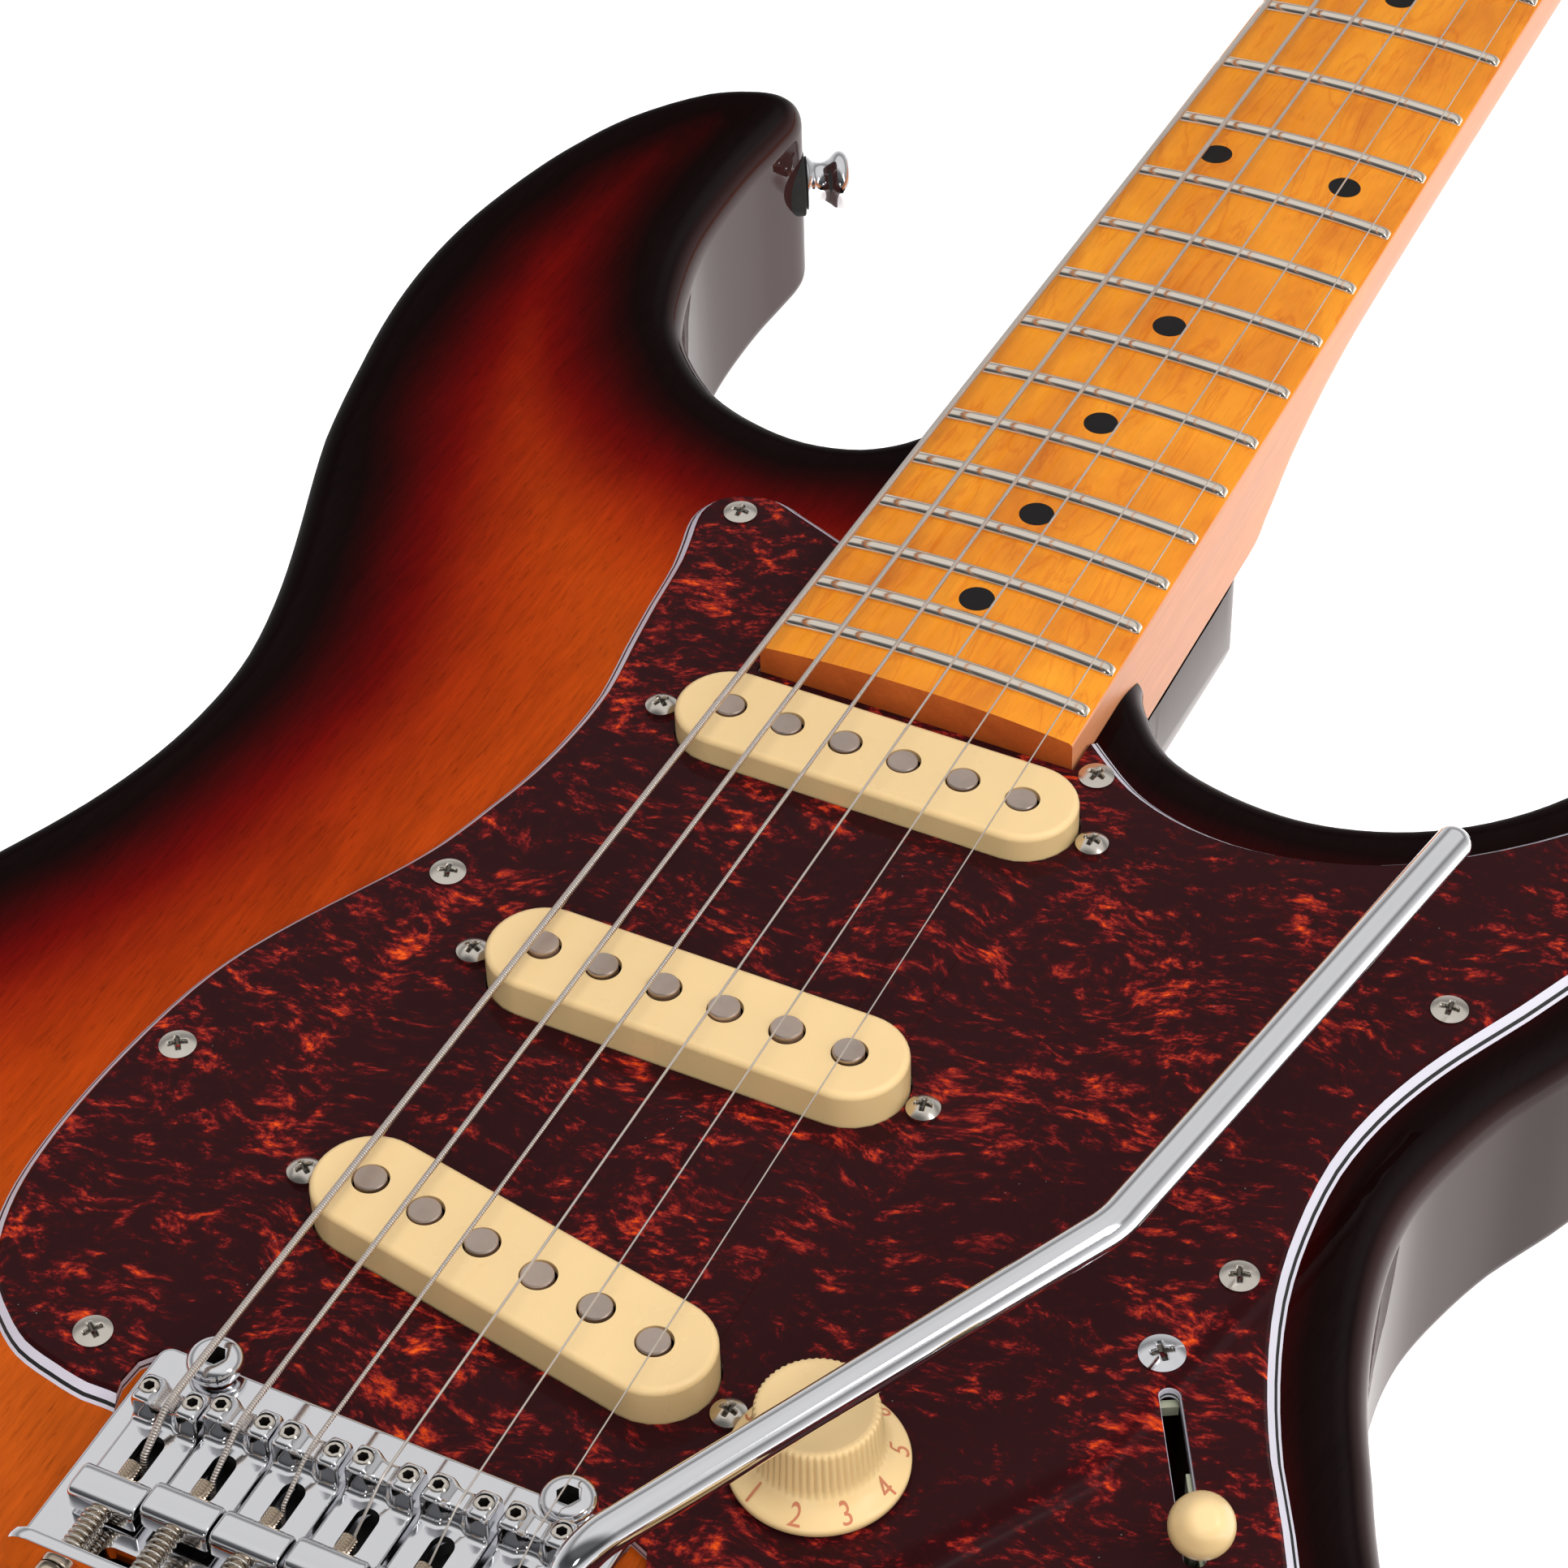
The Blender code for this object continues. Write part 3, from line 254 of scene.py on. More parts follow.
def make_light():
    """A pale room with a dim band at mid height and behind the camera, and soft lamps."""
    world = bpy.data.worlds.new("studio")
    bpy.context.scene.world = world
    world.use_nodes = True
    tree = world.node_tree
    shine = tree.nodes["Background"]
    spot = tree.nodes.new("ShaderNodeTexCoord")
    split = tree.nodes.new("ShaderNodeSeparateXYZ")
    ramp = tree.nodes.new("ShaderNodeValToRGB")
    tree.links.new(spot.outputs["Generated"], split.inputs[0])
    tree.links.new(split.outputs["Z"], ramp.inputs[0])
    behind = tree.nodes.new("ShaderNodeMapRange")
    above = tree.nodes.new("ShaderNodeMapRange")
    for node, axis, low, high, most in ((behind, "Y", -0.15, -0.55, 0.85),
                                        (above, "Z", 0.1, 0.3, 1.0)):
        node.interpolation_type = "SMOOTHSTEP"
        tree.links.new(split.outputs[axis], node.inputs["Value"])
        node.inputs["From Min"].default_value = low
        node.inputs["From Max"].default_value = high
        node.inputs["To Min"].default_value = 0.0
        node.inputs["To Max"].default_value = most
    share = tree.nodes.new("ShaderNodeMath")
    share.operation = "MULTIPLY"
    tree.links.new(behind.outputs[0], share.inputs[0])
    tree.links.new(above.outputs[0], share.inputs[1])
    dimmed = tree.nodes.new("ShaderNodeMix")
    dimmed.data_type = "RGBA"
    tree.links.new(share.outputs[0], dimmed.inputs["Factor"])
    tree.links.new(ramp.outputs[0], dimmed.inputs["A"])
    dimmed.inputs["B"].default_value = (0.02, 0.022, 0.028, 1)
    tree.links.new(dimmed.outputs["Result"], shine.inputs["Color"])
    ramp.color_ramp.elements[0].position = ROOM_STOPS[0][0]
    ramp.color_ramp.elements[1].position = ROOM_STOPS[-1][0]
    for place, _ in ROOM_STOPS[1:-1]:
        ramp.color_ramp.elements.new(place)
    for stop, (_, value) in zip(ramp.color_ramp.elements, ROOM_STOPS):
        stop.color = (value, value, value * 1.01, 1)
    shine.inputs["Strength"].default_value = 0.75
    for lamp in LAMPS:
        softbox(*lamp)
    bpy.context.scene.view_settings.view_transform = "Standard"


# ---------------------------------------------------------------- materials


class Look:
    """One material's node tree, with short calls to fill it."""

    def __init__(self, name, **values):
        self.material = bpy.data.materials.new(name)
        self.material.use_nodes = True
        self.tree = self.material.node_tree
        self.shader = self.tree.nodes["Principled BSDF"]
        for key, value in values.items():
            self.set(key.replace("_", " "), value)

    def set(self, socket, value):
        target = self.shader.inputs[socket]
        if isinstance(value, bpy.types.NodeSocket):
            self.tree.links.new(value, target)
        elif isinstance(value, tuple):
            target.default_value = (*value, 1.0) if len(value) == 3 else value
        else:
            target.default_value = value

    def node(self, kind, inputs=(), **settings):
        made = self.tree.nodes.new("ShaderNode" + kind)
        for key, value in settings.items():
            setattr(made, key, value)
        for key, value in dict(inputs).items():
            if isinstance(value, bpy.types.NodeSocket):
                self.tree.links.new(value, made.inputs[key])
            else:
                made.inputs[key].default_value = value
        return made

    def place(self, scale=(1, 1, 1), turn=(0, 0, 0)):
        spot = self.node("TexCoord").outputs["Object"]
        return self.node("Mapping", {"Vector": spot, "Scale": scale, "Rotation": turn}).outputs[0]

    def noise(self, where, scale, detail=3.0, rough=0.55, twist=0.0):
        values = {"Vector": where, "Scale": scale, "Detail": detail, "Roughness": rough,
                  "Distortion": twist}
        return self.node("TexNoise", values).outputs["Fac"]

    def ramp(self, value, stops, smooth=False):
        made = self.node("ValToRGB", {"Fac": value})
        band = made.color_ramp
        if smooth:
            band.interpolation = "B_SPLINE"
        band.elements[0].position = stops[0][0]
        band.elements[1].position = stops[-1][0]
        for place, _ in stops[1:-1]:
            band.elements.new(place)
        for stop, (_, colour) in zip(band.elements, stops):
            if not isinstance(colour, tuple):
                colour = (colour, colour, colour)
            stop.color = (*colour, 1.0)
        return made.outputs["Color"]

    def math(self, operation, first, second=0.0, clamp=False):
        made = self.node("Math", operation=operation, use_clamp=clamp)
        for k, value in enumerate((first, second)):
            if isinstance(value, bpy.types.NodeSocket):
                self.tree.links.new(value, made.inputs[k])
            else:
                made.inputs[k].default_value = value
        return made.outputs[0]

    def shift(self, value, wave, amount):
        """value moved up and down by a noise, by half the amount at most."""
        change = self.math("MULTIPLY", self.math("SUBTRACT", wave, 0.5), amount)
        return self.math("ADD", value, change)

    def mix(self, share, first, second, kind="MIX"):
        made = self.node("Mix", data_type="RGBA", blend_type=kind)
        for key, value in (("Factor", share), ("A", first), ("B", second)):
            sockets = [s for s in made.inputs if s.name == key and s.enabled]
            if isinstance(value, bpy.types.NodeSocket):
                self.tree.links.new(value, sockets[0])
            elif isinstance(value, tuple):
                sockets[0].default_value = (*value, 1.0)
            else:
                sockets[0].default_value = value
        return [s for s in made.outputs if s.enabled][0]

    def bump(self, height, strength, distance):
        values = {"Height": height, "Strength": strength, "Distance": distance}
        return self.node("Bump", values).outputs[0]


def make_burst():
    """Lacquer that runs from amber to black by each point's distance from the outline, with a
    painted reflection: faces turned towards +X are pulled to a dark pink.
    """
    look = Look("sunburst_lacquer", Coat_Roughness=0.025, Specular_IOR_Level=0.0)
    edge = look.node("Attribute", attribute_name="edge_mm").outputs["Fac"]
    facing = look.node("VectorMath", {0: look.node("TexCoord").outputs["Normal"],
                                      1: (0.9, 0.3, 0.0)}, operation="DOT_PRODUCT").outputs["Value"]
    look.set("Coat Weight", look.ramp(facing, ((0.0, 0.07), (0.5, 0.34), (0.95, 0.62))))
    drift = look.noise(look.place(), 22.0, 2.0)
    edge = look.shift(edge, drift, 7.0)
    colour = look.ramp(look.math("DIVIDE", edge, 100.0), (
        (0.05, (0.005, 0.002, 0.0022)), (0.09, (0.0045, 0.001, 0.001)),
        (0.13, (0.016, 0.0008, 0.0008)), (0.17, (0.042, 0.0009, 0.0009)),
        (0.21, (0.078, 0.0012, 0.001)), (0.25, (0.12, 0.0022, 0.001)),
        (0.30, (0.18, 0.008, 0.0015)), (0.36, (0.255, 0.018, 0.002)),
        (0.46, (0.315, 0.032, 0.0025)), (0.65, (0.355, 0.048, 0.0035)),
        (0.9, (0.40, 0.068, 0.006))))
    fine = look.noise(look.place((1500, 110, 600), (0, 0, 0.06)), 1.0, 3.0, 0.6)
    pores = look.ramp(look.noise(look.place((2300, 260, 900), (0, 0, 0.06)), 1.0, 2.0, 0.7),
                      ((0.3, 0.62), (0.42, 1.0)))
    cloud = look.noise(look.place((60, 22, 60), (0, 0, 0.1)), 1.0, 4.0, 0.6, 1.0)
    streak = look.ramp(fine, ((0.25, 0.8), (0.75, 1.14)))
    tone = look.ramp(cloud, ((0.3, 0.84), (0.7, 1.12)))
    colour = look.mix(1.0, colour, streak, "MULTIPLY")
    colour = look.mix(1.0, colour, tone, "MULTIPLY")
    colour = look.mix(0.7, colour, pores, "MULTIPLY")
    # painted reflection: faces turned towards +X take a dark pinkish tint that stands in for the
    # room's reflection on the black lacquer
    side = look.ramp(facing, ((0.4, 0.0), (0.9, 1.0)))
    look.set("Base Color", look.mix(side, colour, (0.034, 0.013, 0.0125)))
    look.set("Roughness", look.ramp(fine, ((0.2, 0.36), (0.8, 0.5))))
    skin = look.noise(look.place(), 260.0, 2.0)
    look.set("Coat Normal", look.bump(skin, 0.05, 0.0001))
    look.set("Normal", look.bump(fine, 0.08, 0.0001))
    return look.material


def make_tortoise():
    """Dark sheet with red and orange flecks, pulled into short streaks across the body."""
    look = Look("tortoise_sheet", Roughness=0.07, Specular_IOR_Level=0.05)
    flat = look.place((1, 1, 0.2), (0, 0, -0.25))
    swirl = look.node("TexNoise", {"Vector": flat, "Scale": 34.0, "Detail": 2.0}).outputs["Color"]
    middle = (0.5, 0.5, 0.5)
    wander = look.node("VectorMath", {0: swirl, 1: middle}, operation="SUBTRACT").outputs[0]
    pull = look.node("VectorMath", {0: wander, "Scale": 0.016}, operation="SCALE").outputs[0]
    bent = look.node("VectorMath", {0: flat, 1: pull}, operation="ADD").outputs[0]
    turned = look.node("Mapping", {"Vector": bent, "Rotation": (0, 0, 0.12)}).outputs[0]
    wide = look.node("Mapping", {"Vector": turned, "Scale": (215, 390, 60)}).outputs[0]
    fleck = look.noise(wide, 1.0, 6.0, 0.7, 0.25)
    close = look.node("Mapping", {"Vector": turned, "Scale": (600, 1000, 60)}).outputs[0]
    small = look.noise(close, 1.0, 3.0, 0.65)
    crowd = look.noise(bent, 60.0, 2.0, 0.5)
    level = look.shift(look.shift(fleck, crowd, 0.34), small, 0.28)
    colour = look.ramp(level, (
        (0.47, (0.020, 0.0042, 0.005)), (0.545, (0.034, 0.0042, 0.005)),
        (0.59, (0.10, 0.006, 0.007)), (0.635, (0.21, 0.016, 0.012)),
        (0.69, (0.44, 0.034, 0.006)), (0.76, (0.72, 0.095, 0.012))))
    dust = look.node("TexVoronoi", {"Vector": look.place(), "Scale": 420.0}).outputs["Distance"]
    rare = look.noise(look.place(), 60.0, 2.0)
    speck = look.math("MULTIPLY", look.math("LESS_THAN", dust, 0.045),
                      look.math("GREATER_THAN", rare, 0.6))
    look.set("Base Color", look.mix(look.math("MULTIPLY", speck, 0.35), colour, (0.35, 0.33, 0.33)))
    haze = look.noise(look.place(), 35.0, 4.0)
    look.set("Roughness", look.ramp(haze, ((0.3, 0.05), (0.7, 0.11))))
    look.set("Normal", look.bump(look.noise(look.place(), 70.0, 1.0), 0.05, 0.0003))
    return look.material


def make_plain(name, colour, rough, metal=0.0, vary=0.06, grain=900.0, dent=0.04, **extra):
    """A plain surface with slight changes of tone and shine, and a fine bump."""
    look = Look(name, Metallic=metal, **extra)
    cloud = look.noise(look.place(), grain / 12, 4.0, 0.6)
    fine = look.noise(look.place(), grain, 3.0, 0.6)
    dark = tuple(c * (1 - vary) for c in colour)
    light = tuple(min(c * (1 + vary), 1.0) for c in colour)
    look.set("Base Color", look.ramp(cloud, ((0.3, dark), (0.7, light))))
    look.set("Roughness", look.ramp(cloud, ((0.3, rough * 0.75), (0.7, rough * 1.35))))
    look.set("Normal", look.bump(fine, dent, 0.0001))
    return look.material


def make_board():
    """Amber maple with thin darker growth lines and pores along the board."""
    look = Look("amber_maple_gloss", Coat_Weight=0.22, Coat_Roughness=0.06, Specular_IOR_Level=0.2)
    where = look.place((95, 16, 95), (0, 0, 0.05))
    figure = look.noise(where, 1.0, 4.0, 0.55, 1.4)
    bands = look.math("PINGPONG", look.math("MULTIPLY", figure, 9.0), 1.0)
    lines = look.ramp(bands, ((0.0, (0.86, 0.68, 0.45)), (0.22, (0.99, 0.97, 0.95)),
                              (1.0, (1.0, 1.0, 1.0))))
    cloud = look.noise(look.place((55, 30, 55), (0, 0, 0.5)), 1.0, 4.0, 0.6, 0.6)
    colour = look.ramp(cloud, ((0.3, (0.54, 0.15, 0.007)), (0.5, (0.68, 0.225, 0.009)),
                               (0.7, (0.77, 0.29, 0.014))))
    colour = look.mix(0.75, colour, lines, "MULTIPLY")
    pores = look.ramp(look.noise(look.place((2100, 160, 900)), 1.0, 3.0, 0.7),
                      ((0.3, 0.8), (0.5, 1.0)))
    look.set("Base Color", look.mix(0.6, colour, pores, "MULTIPLY"))
    look.set("Roughness", look.ramp(cloud, ((0.2, 0.32), (0.8, 0.45))))
    look.set("Normal", look.bump(look.noise(look.place((1500, 120, 600)), 1.0, 3.0), 0.06, 0.0001))
    return look.material


def make_neck_wood(name, low, high, coat, rough):
    look = Look(name, Coat_Weight=coat, Coat_Roughness=0.2)
    figure = look.noise(look.place((80, 9, 60)), 1.0, 4.0, 0.6, 1.0)
    fine = look.noise(look.place((1400, 90, 1400)), 1.0, 3.0, 0.6)
    colour = look.ramp(figure, ((0.3, low), (0.7, high)))
    streak = look.ramp(fine, ((0.3, 0.9), (0.7, 1.05)))
    look.set("Base Color", look.mix(1.0, colour, streak, "MULTIPLY"))
    look.set("Roughness", look.ramp(figure, ((0.3, rough * 0.85), (0.7, rough * 1.15))))
    look.set("Normal", look.bump(fine, 0.07, 0.0001))
    return look.material


def make_string(name, colour, pitch):
    """Plain wire, or wire wound with turns pitch millimetres apart, with painted shade darkening
    the grooves between the turns.
    """
    look = Look(name, Metallic=1.0)
    along = look.node("Attribute", attribute_name="along_mm").outputs["Fac"]
    cloud = look.noise(look.place(), 160.0, 3.0)
    light = tuple(min(c * 1.12, 1.0) for c in colour)
    shade = look.ramp(cloud, ((0.3, colour), (0.7, light)))
    if pitch:
        wave = look.math("SINE", look.math("MULTIPLY", along, 2 * math.pi / pitch))
        # painted shade: the colour is darkened in the grooves between the turns
        groove_shade = look.ramp(look.math("ADD", look.math("MULTIPLY", wave, 0.5), 0.5),
                           ((0.05, 0.72), (0.5, 1.0)))
        shade = look.mix(1.0, shade, groove_shade, "MULTIPLY")
        look.set("Normal", look.bump(wave, 0.4, 0.0001))
    look.set("Base Color", shade)
    look.set("Roughness", look.ramp(cloud, ((0.3, 0.3), (0.7, 0.45))))
    return look.material


LOOKS = {}


def make_looks():
    LOOKS.update({
        "burst": make_burst(),
        "tortoise": make_tortoise(),
        "board": make_board(),
        "neck": make_neck_wood("neck_maple_satin", (0.62, 0.235, 0.105), (0.77, 0.315, 0.152),
                               0.04, 0.42),
        "end": make_neck_wood("board_end", (0.46, 0.09, 0.018), (0.62, 0.14, 0.026), 0.2, 0.35),
        "cream": make_plain("cream_plastic", (0.68, 0.485, 0.24), 0.3, vary=0.03, grain=500,
                            Subsurface_Weight=0.06, Subsurface_Scale=0.002),
        "ply_white": make_plain("ply_white", (0.52, 0.50, 0.57), 0.4, vary=0.05),
        "ply_black": make_plain("ply_black", (0.012, 0.012, 0.012), 0.4, vary=0.2),
        "black": make_plain("black_plastic", (0.009, 0.008, 0.008), 0.3, vary=0.2,
                            Specular_IOR_Level=0.12),
        "chrome": make_plain("chrome", (0.84, 0.84, 0.86), 0.085, 1.0, 0.02, 500, 0.008),
        "nickel": make_plain("nickel", (0.74, 0.68, 0.60), 0.2, 1.0, 0.06, 900, 0.05),
        "fret": make_plain("fret_nickel", (0.90, 0.80, 0.68), 0.16, 1.0, 0.05, 900, 0.03),
        "pole": make_plain("pole_steel", (0.66, 0.54, 0.465), 0.5, 1.0, 0.18, 1500, 0.2),
        "steel": make_plain("plain_steel", (0.5, 0.49, 0.47), 0.35, 1.0, 0.12, 1200, 0.1),
        # painted shade: the tremolo block, seen only through the slots in the plate, is coloured
        # near black
        "shade": make_plain("block_painted_shade", (0.045, 0.042, 0.04), 0.5, 0.8, 0.2, 1200, 0.1),
        "recess": make_plain("recess_shade", (0.16, 0.14, 0.12), 0.45, 0.9, 0.3),
        # painted shade: the dark inside of hex sockets
        "socket": make_plain("socket_painted_shade", (0.03, 0.025, 0.022), 0.5, 0.6, 0.3),
        "thread": make_plain("thread_nickel", (0.76, 0.62, 0.47), 0.22, 1.0, 0.08, 900, 0.03),
        "brass": make_plain("brass", (0.62, 0.45, 0.24), 0.25, 1.0, 0.1, 900, 0.06),
        "lever": make_plain("lever_plated", (0.62, 0.64, 0.46), 0.4, 0.5, 0.12, 900, 0.06),
        "print": make_plain("print_brown", (0.46, 0.155, 0.075), 0.5, vary=0.1),
        "bone": make_plain("nut_bone", (0.78, 0.72, 0.58), 0.35, vary=0.05, grain=400),
        "copper": make_plain("coil_copper", (0.45, 0.16, 0.06), 0.4, 1.0, 0.15, 3000, 0.3),
        "felt": make_plain("felt_black", (0.02, 0.02, 0.02), 0.9, vary=0.3, grain=2500, dent=0.5),
        "string_plain": make_string("string_plain", (0.80, 0.72, 0.65), 0.0),
        "string_wound": make_string("string_wound", (0.80, 0.71, 0.64), 0.42),
    })


# ---------------------------------------------------------------- shapes


def frame_on(axis):
    along = Vector(axis).normalized()
    other = Vector((0, 0, 1)) if abs(along.z) < 0.9 else Vector((0, 1, 0))
    across = along.cross(other).normalized()
    return along, across, along.cross(across)


def circle(radius, z, sides, centre=(0.0, 0.0)):
    turns = [2 * math.pi * j / sides for j in range(sides)]
    return [(centre[0] + radius * math.cos(a), centre[1] + radius * math.sin(a), z)
            for a in turns]


def hexagon(corner, z, sides, centre=(0.0, 0.0)):
    """Six-sided, with as many points as a round ring; corner is its corners' radius."""
    ring = []
    for j in range(sides):
        a = 2 * math.pi * j / sides
        six = corner * math.cos(math.pi / 6) / math.cos((a % (math.pi / 3)) - math.pi / 6)
        ring.append((centre[0] + six * math.cos(a), centre[1] + six * math.sin(a), z))
    return ring


class Shape:
    """Points in millimetres and faces, gathered until they become one piece."""

    def __init__(self):
        self.points = []
        self.faces = []
        self.looks = []

    def add(self, points, faces, look=0):
        base = len(self.points)
        self.points += [tuple(float(v) for v in p) for p in points]
        self.faces += [tuple(i + base for i in f) for f in faces]
        self.looks += [look] * len(faces)
        return self

    def loft(self, rings, caps=True, look=0, loop=False):
        count = len(rings[0])
        points = [p for ring in rings for p in ring]
        faces = []
        if caps and not loop:
            faces = [tuple(reversed(range(count))), tuple(range(len(points) - count, len(points)))]
        for k in range(len(rings) if loop else len(rings) - 1):
            a, b = k * count, (k + 1) % len(rings) * count
            for i in range(count):
                j = (i + 1) % count
                faces.append((a + i, a + j, b + j, b + i))
        return self.add(points, faces, look)

    def turned(self, profile, centre=(0, 0, 0), axis=(0, 0, 1), sides=32, caps=True, look=0):
        along, u, v = frame_on(axis)
        rings = []
        for radius, far in profile:
            turns = [2 * math.pi * k / sides for k in range(sides)]
            rings.append([Vector(centre) + along * far
                          + (u * math.cos(a) + v * math.sin(a)) * radius for a in turns])
        return self.loft(rings, caps, look)

    def tube(self, path, radius, sides=12, look=0, tips=()):
        """A round rod along a path. tips are (distance beyond the end, share of the radius)."""
        spots = [Vector(p) for p in path]
        across = None
        rings = []
        for k, spot in enumerate(spots):
            before = spots[k] - spots[k - 1] if k else spots[1] - spots[0]
            after = spots[k + 1] - spots[k] if k + 1 < len(spots) else before
            along = (before.normalized() + after.normalized()).normalized()
            if across is None:
                across = frame_on(along)[1]
            across = (across - along * across.dot(along)).normalized()
            other = along.cross(across)
            turns = [2 * math.pi * j / sides for j in range(sides)]
            rings.append([spot + (across * math.cos(a) + other * math.sin(a)) * radius
                          for a in turns])
        for far, share in tips:
            rings.append([spots[-1] + along * far + (p - spots[-1]) * share
                          for p in rings[len(spots) - 1]])
        return self.loft(rings, True, look)

    def mesh(self, name, merge=False):
        made = bpy.data.meshes.new(name)
        made.from_pydata([tuple(v * MM for v in p) for p in self.points], [], self.faces)
        made.polygons.foreach_set("material_index", self.looks)
        tidy = bmesh.new()
        tidy.from_mesh(made)
        if merge:
            bmesh.ops.remove_doubles(tidy, verts=tidy.verts, dist=1e-6)
            bmesh.ops.dissolve_degenerate(tidy, edges=tidy.edges, dist=1e-6)
        bmesh.ops.recalc_face_normals(tidy, faces=tidy.faces)
        if tidy.calc_volume(signed=True) < 0:
            bmesh.ops.reverse_faces(tidy, faces=tidy.faces)
        tidy.to_mesh(made)
        tidy.free()
        return made

    def piece(self, name, look, body, slot, replaces=(), sharp=35.0):
        return settle(linked(name, self.mesh(name)), look, body, replaces, sharp)


def settle(made, look, body, replaces=(), sharp=35.0):
    """Gives a finished mesh its looks and says what it rides on and stands for."""
    names = look if isinstance(look, tuple) else (look,)
    picks = [0] * len(made.data.polygons)
    made.data.polygons.foreach_get("material_index", picks)
    made.data.materials.clear()
    for name in names:
        made.data.materials.append(LOOKS[name])
    made.data.polygons.foreach_set("material_index", picks)
    made.data.shade_smooth()
    made.data.set_sharp_from_angle(angle=math.radians(sharp))
    even = made.modifiers.new("even", "WEIGHTED_NORMAL")
    even.keep_sharp = True
    even.weight = 60
    if body:
        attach(made, body)
    if replaces:
        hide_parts(*([replaces] if isinstance(replaces, str) else replaces))
    return made


def copy_at(name, source, centre, axis, body, spin=0.0):
    """Another piece with the same mesh, its local +Z turned to axis."""
    made = linked(name, source)
    along, u, v = frame_on(axis)
    turn = Matrix((u, -v, along)).transposed().to_4x4()
    if turn.determinant() < 0:
        turn = Matrix((u, v, along)).transposed().to_4x4()
    made.matrix_world = (Matrix.Translation(Vector(centre) * MM) @ turn
                         @ Matrix.Rotation(spin, 4, "Z"))
    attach(made, body)
    return made


def wear(node, look):
    """Gives a CAD node that stays as it is one of the looks."""
    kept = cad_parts[node]
    kept.data.materials.clear()
    kept.data.materials.append(LOOKS[look])


def ready_mesh(shape, name, look, sharp=35.0):
    """A mesh with its looks, for copies and for pieces that share it."""
    mesh = shape.mesh(name)
    for item in (look if isinstance(look, tuple) else (look,)):
        mesh.materials.append(LOOKS[item])
    mesh.shade_smooth()
    mesh.set_sharp_from_angle(angle=math.radians(sharp))
    return mesh


def cut(target, shapes, operation="DIFFERENCE"):
    """Cuts or joins shapes in turn; target is an object."""
    for shape in shapes:
        tool = linked("tool", shape.mesh("tool"))
        step = target.modifiers.new("step", "BOOLEAN")
        step.operation = operation
        step.solver = "EXACT"
        step.object = tool
        graph = bpy.context.evaluated_depsgraph_get()
        made = bpy.data.meshes.new_from_object(target.evaluated_get(graph))
        target.modifiers.clear()
        target.data = made
        bpy.data.objects.remove(tool, do_unlink=True)
    return target


def loose(shape, name, merge=False):
    """A piece still to be cut, before settle finishes it."""
    return linked(name, shape.mesh(name, merge))


def curve_through(points, parts, closed):
    """A centripetal Catmull-Rom curve through points, each span in equal parts."""
    knots = [np.array(p, float) for p in points]
    last = len(knots)
    out = []
    for i in range(last if closed else last - 1):
        near = [knots[(i + k) % last] for k in (-1, 0, 1, 2)]
        if not closed:
            b, c = knots[i], knots[i + 1]
            near = [knots[i - 1] if i else 2 * b - c, b, c,
                    knots[i + 2] if i + 2 < last else 2 * c - b]
        t = [0.0]
        for k in range(3):
            t.append(t[-1] + math.sqrt(max(np.linalg.norm(near[k + 1] - near[k]), 1e-6)))
        for k in range(parts):
            s = t[1] + (t[2] - t[1]) * k / parts
            row = near
            for level in (1, 2, 3):
                row = [((t[j + level] - s) * row[j] + (s - t[j]) * row[j + 1])
                       / (t[j + level] - t[j]) for j in range(len(row) - 1)]
            out.append(tuple(row[0]))
    if not closed:
        out.append(tuple(knots[-1]))
    return out


def inset(outline, distance):
    """The outline moved inward by a small distance, each point along its own normal."""
    p = np.array(outline)
    d = np.roll(p, -1, 0) - np.roll(p, 1, 0)
    d /= np.linalg.norm(d, axis=1)[:, None]
    area = np.sum(p[:, 0] * np.roll(p[:, 1], -1) - np.roll(p[:, 0], -1) * p[:, 1])
    normal = np.stack([-d[:, 1], d[:, 0]], 1) * (1 if area > 0 else -1)
    return [tuple(q) for q in p + normal * distance]


def shrunk(outline, distance):
    """The outline moved inward with its corners kept sharp and no crossings."""
    if not distance:
        return list(outline)
    p = np.array(outline)
    d = np.roll(p, -1, 0) - p
    d /= np.linalg.norm(d, axis=1)[:, None]
    area = np.sum(p[:, 0] * np.roll(p[:, 1], -1) - np.roll(p[:, 0], -1) * p[:, 1])
    ahead = np.stack([-d[:, 1], d[:, 0]], 1) * (1 if area > 0 else -1)
    normal = ahead + np.roll(ahead, 1, 0)
    normal /= np.linalg.norm(normal, axis=1)[:, None]
    reach = distance / np.maximum((normal * ahead).sum(1), 0.45)
    q = p + normal * reach[:, None]
    good = np.flatnonzero(gaps_to(q, outline) > distance * 0.97)
    out = []
    for k in range(len(p)):
        apart = abs(good - k)
        out.append(tuple(q[good[np.argmin(np.minimum(apart, len(p) - apart))]]))
    return out


def stadium(centre, along, long, wide, steps=12):
    ux, uy = Vector(along).normalized()
    r = wide / 2
    half = max(long / 2 - r, 0.0)
    out = []
    for end in (1, -1):
        for k in range(steps + 1):
            a = -math.pi / 2 + math.pi * k / steps
            f = end * (half + r * math.cos(a))
            s = end * r * math.sin(a)
            out.append((centre[0] + ux * f - uy * s, centre[1] + uy * f + ux * s))
    return out


def rounded(low, high, radius, steps=6):
    out = []
    for k, (sx, sy) in enumerate(((1, 1), (0, 1), (0, 0), (1, 0))):
        cx = high[0] - radius if sx else low[0] + radius
        cy = high[1] - radius if sy else low[1] + radius
        for i in range(steps + 1):
            a = math.pi / 2 * (k + i / steps)
            out.append((cx + radius * math.cos(a), cy + radius * math.sin(a)))
    return out


def flat(outline, z):
    return [(x, y, z) for x, y in outline]


def prism(outline, low, high):
    return Shape().loft([flat(outline, low), flat(outline, high)])


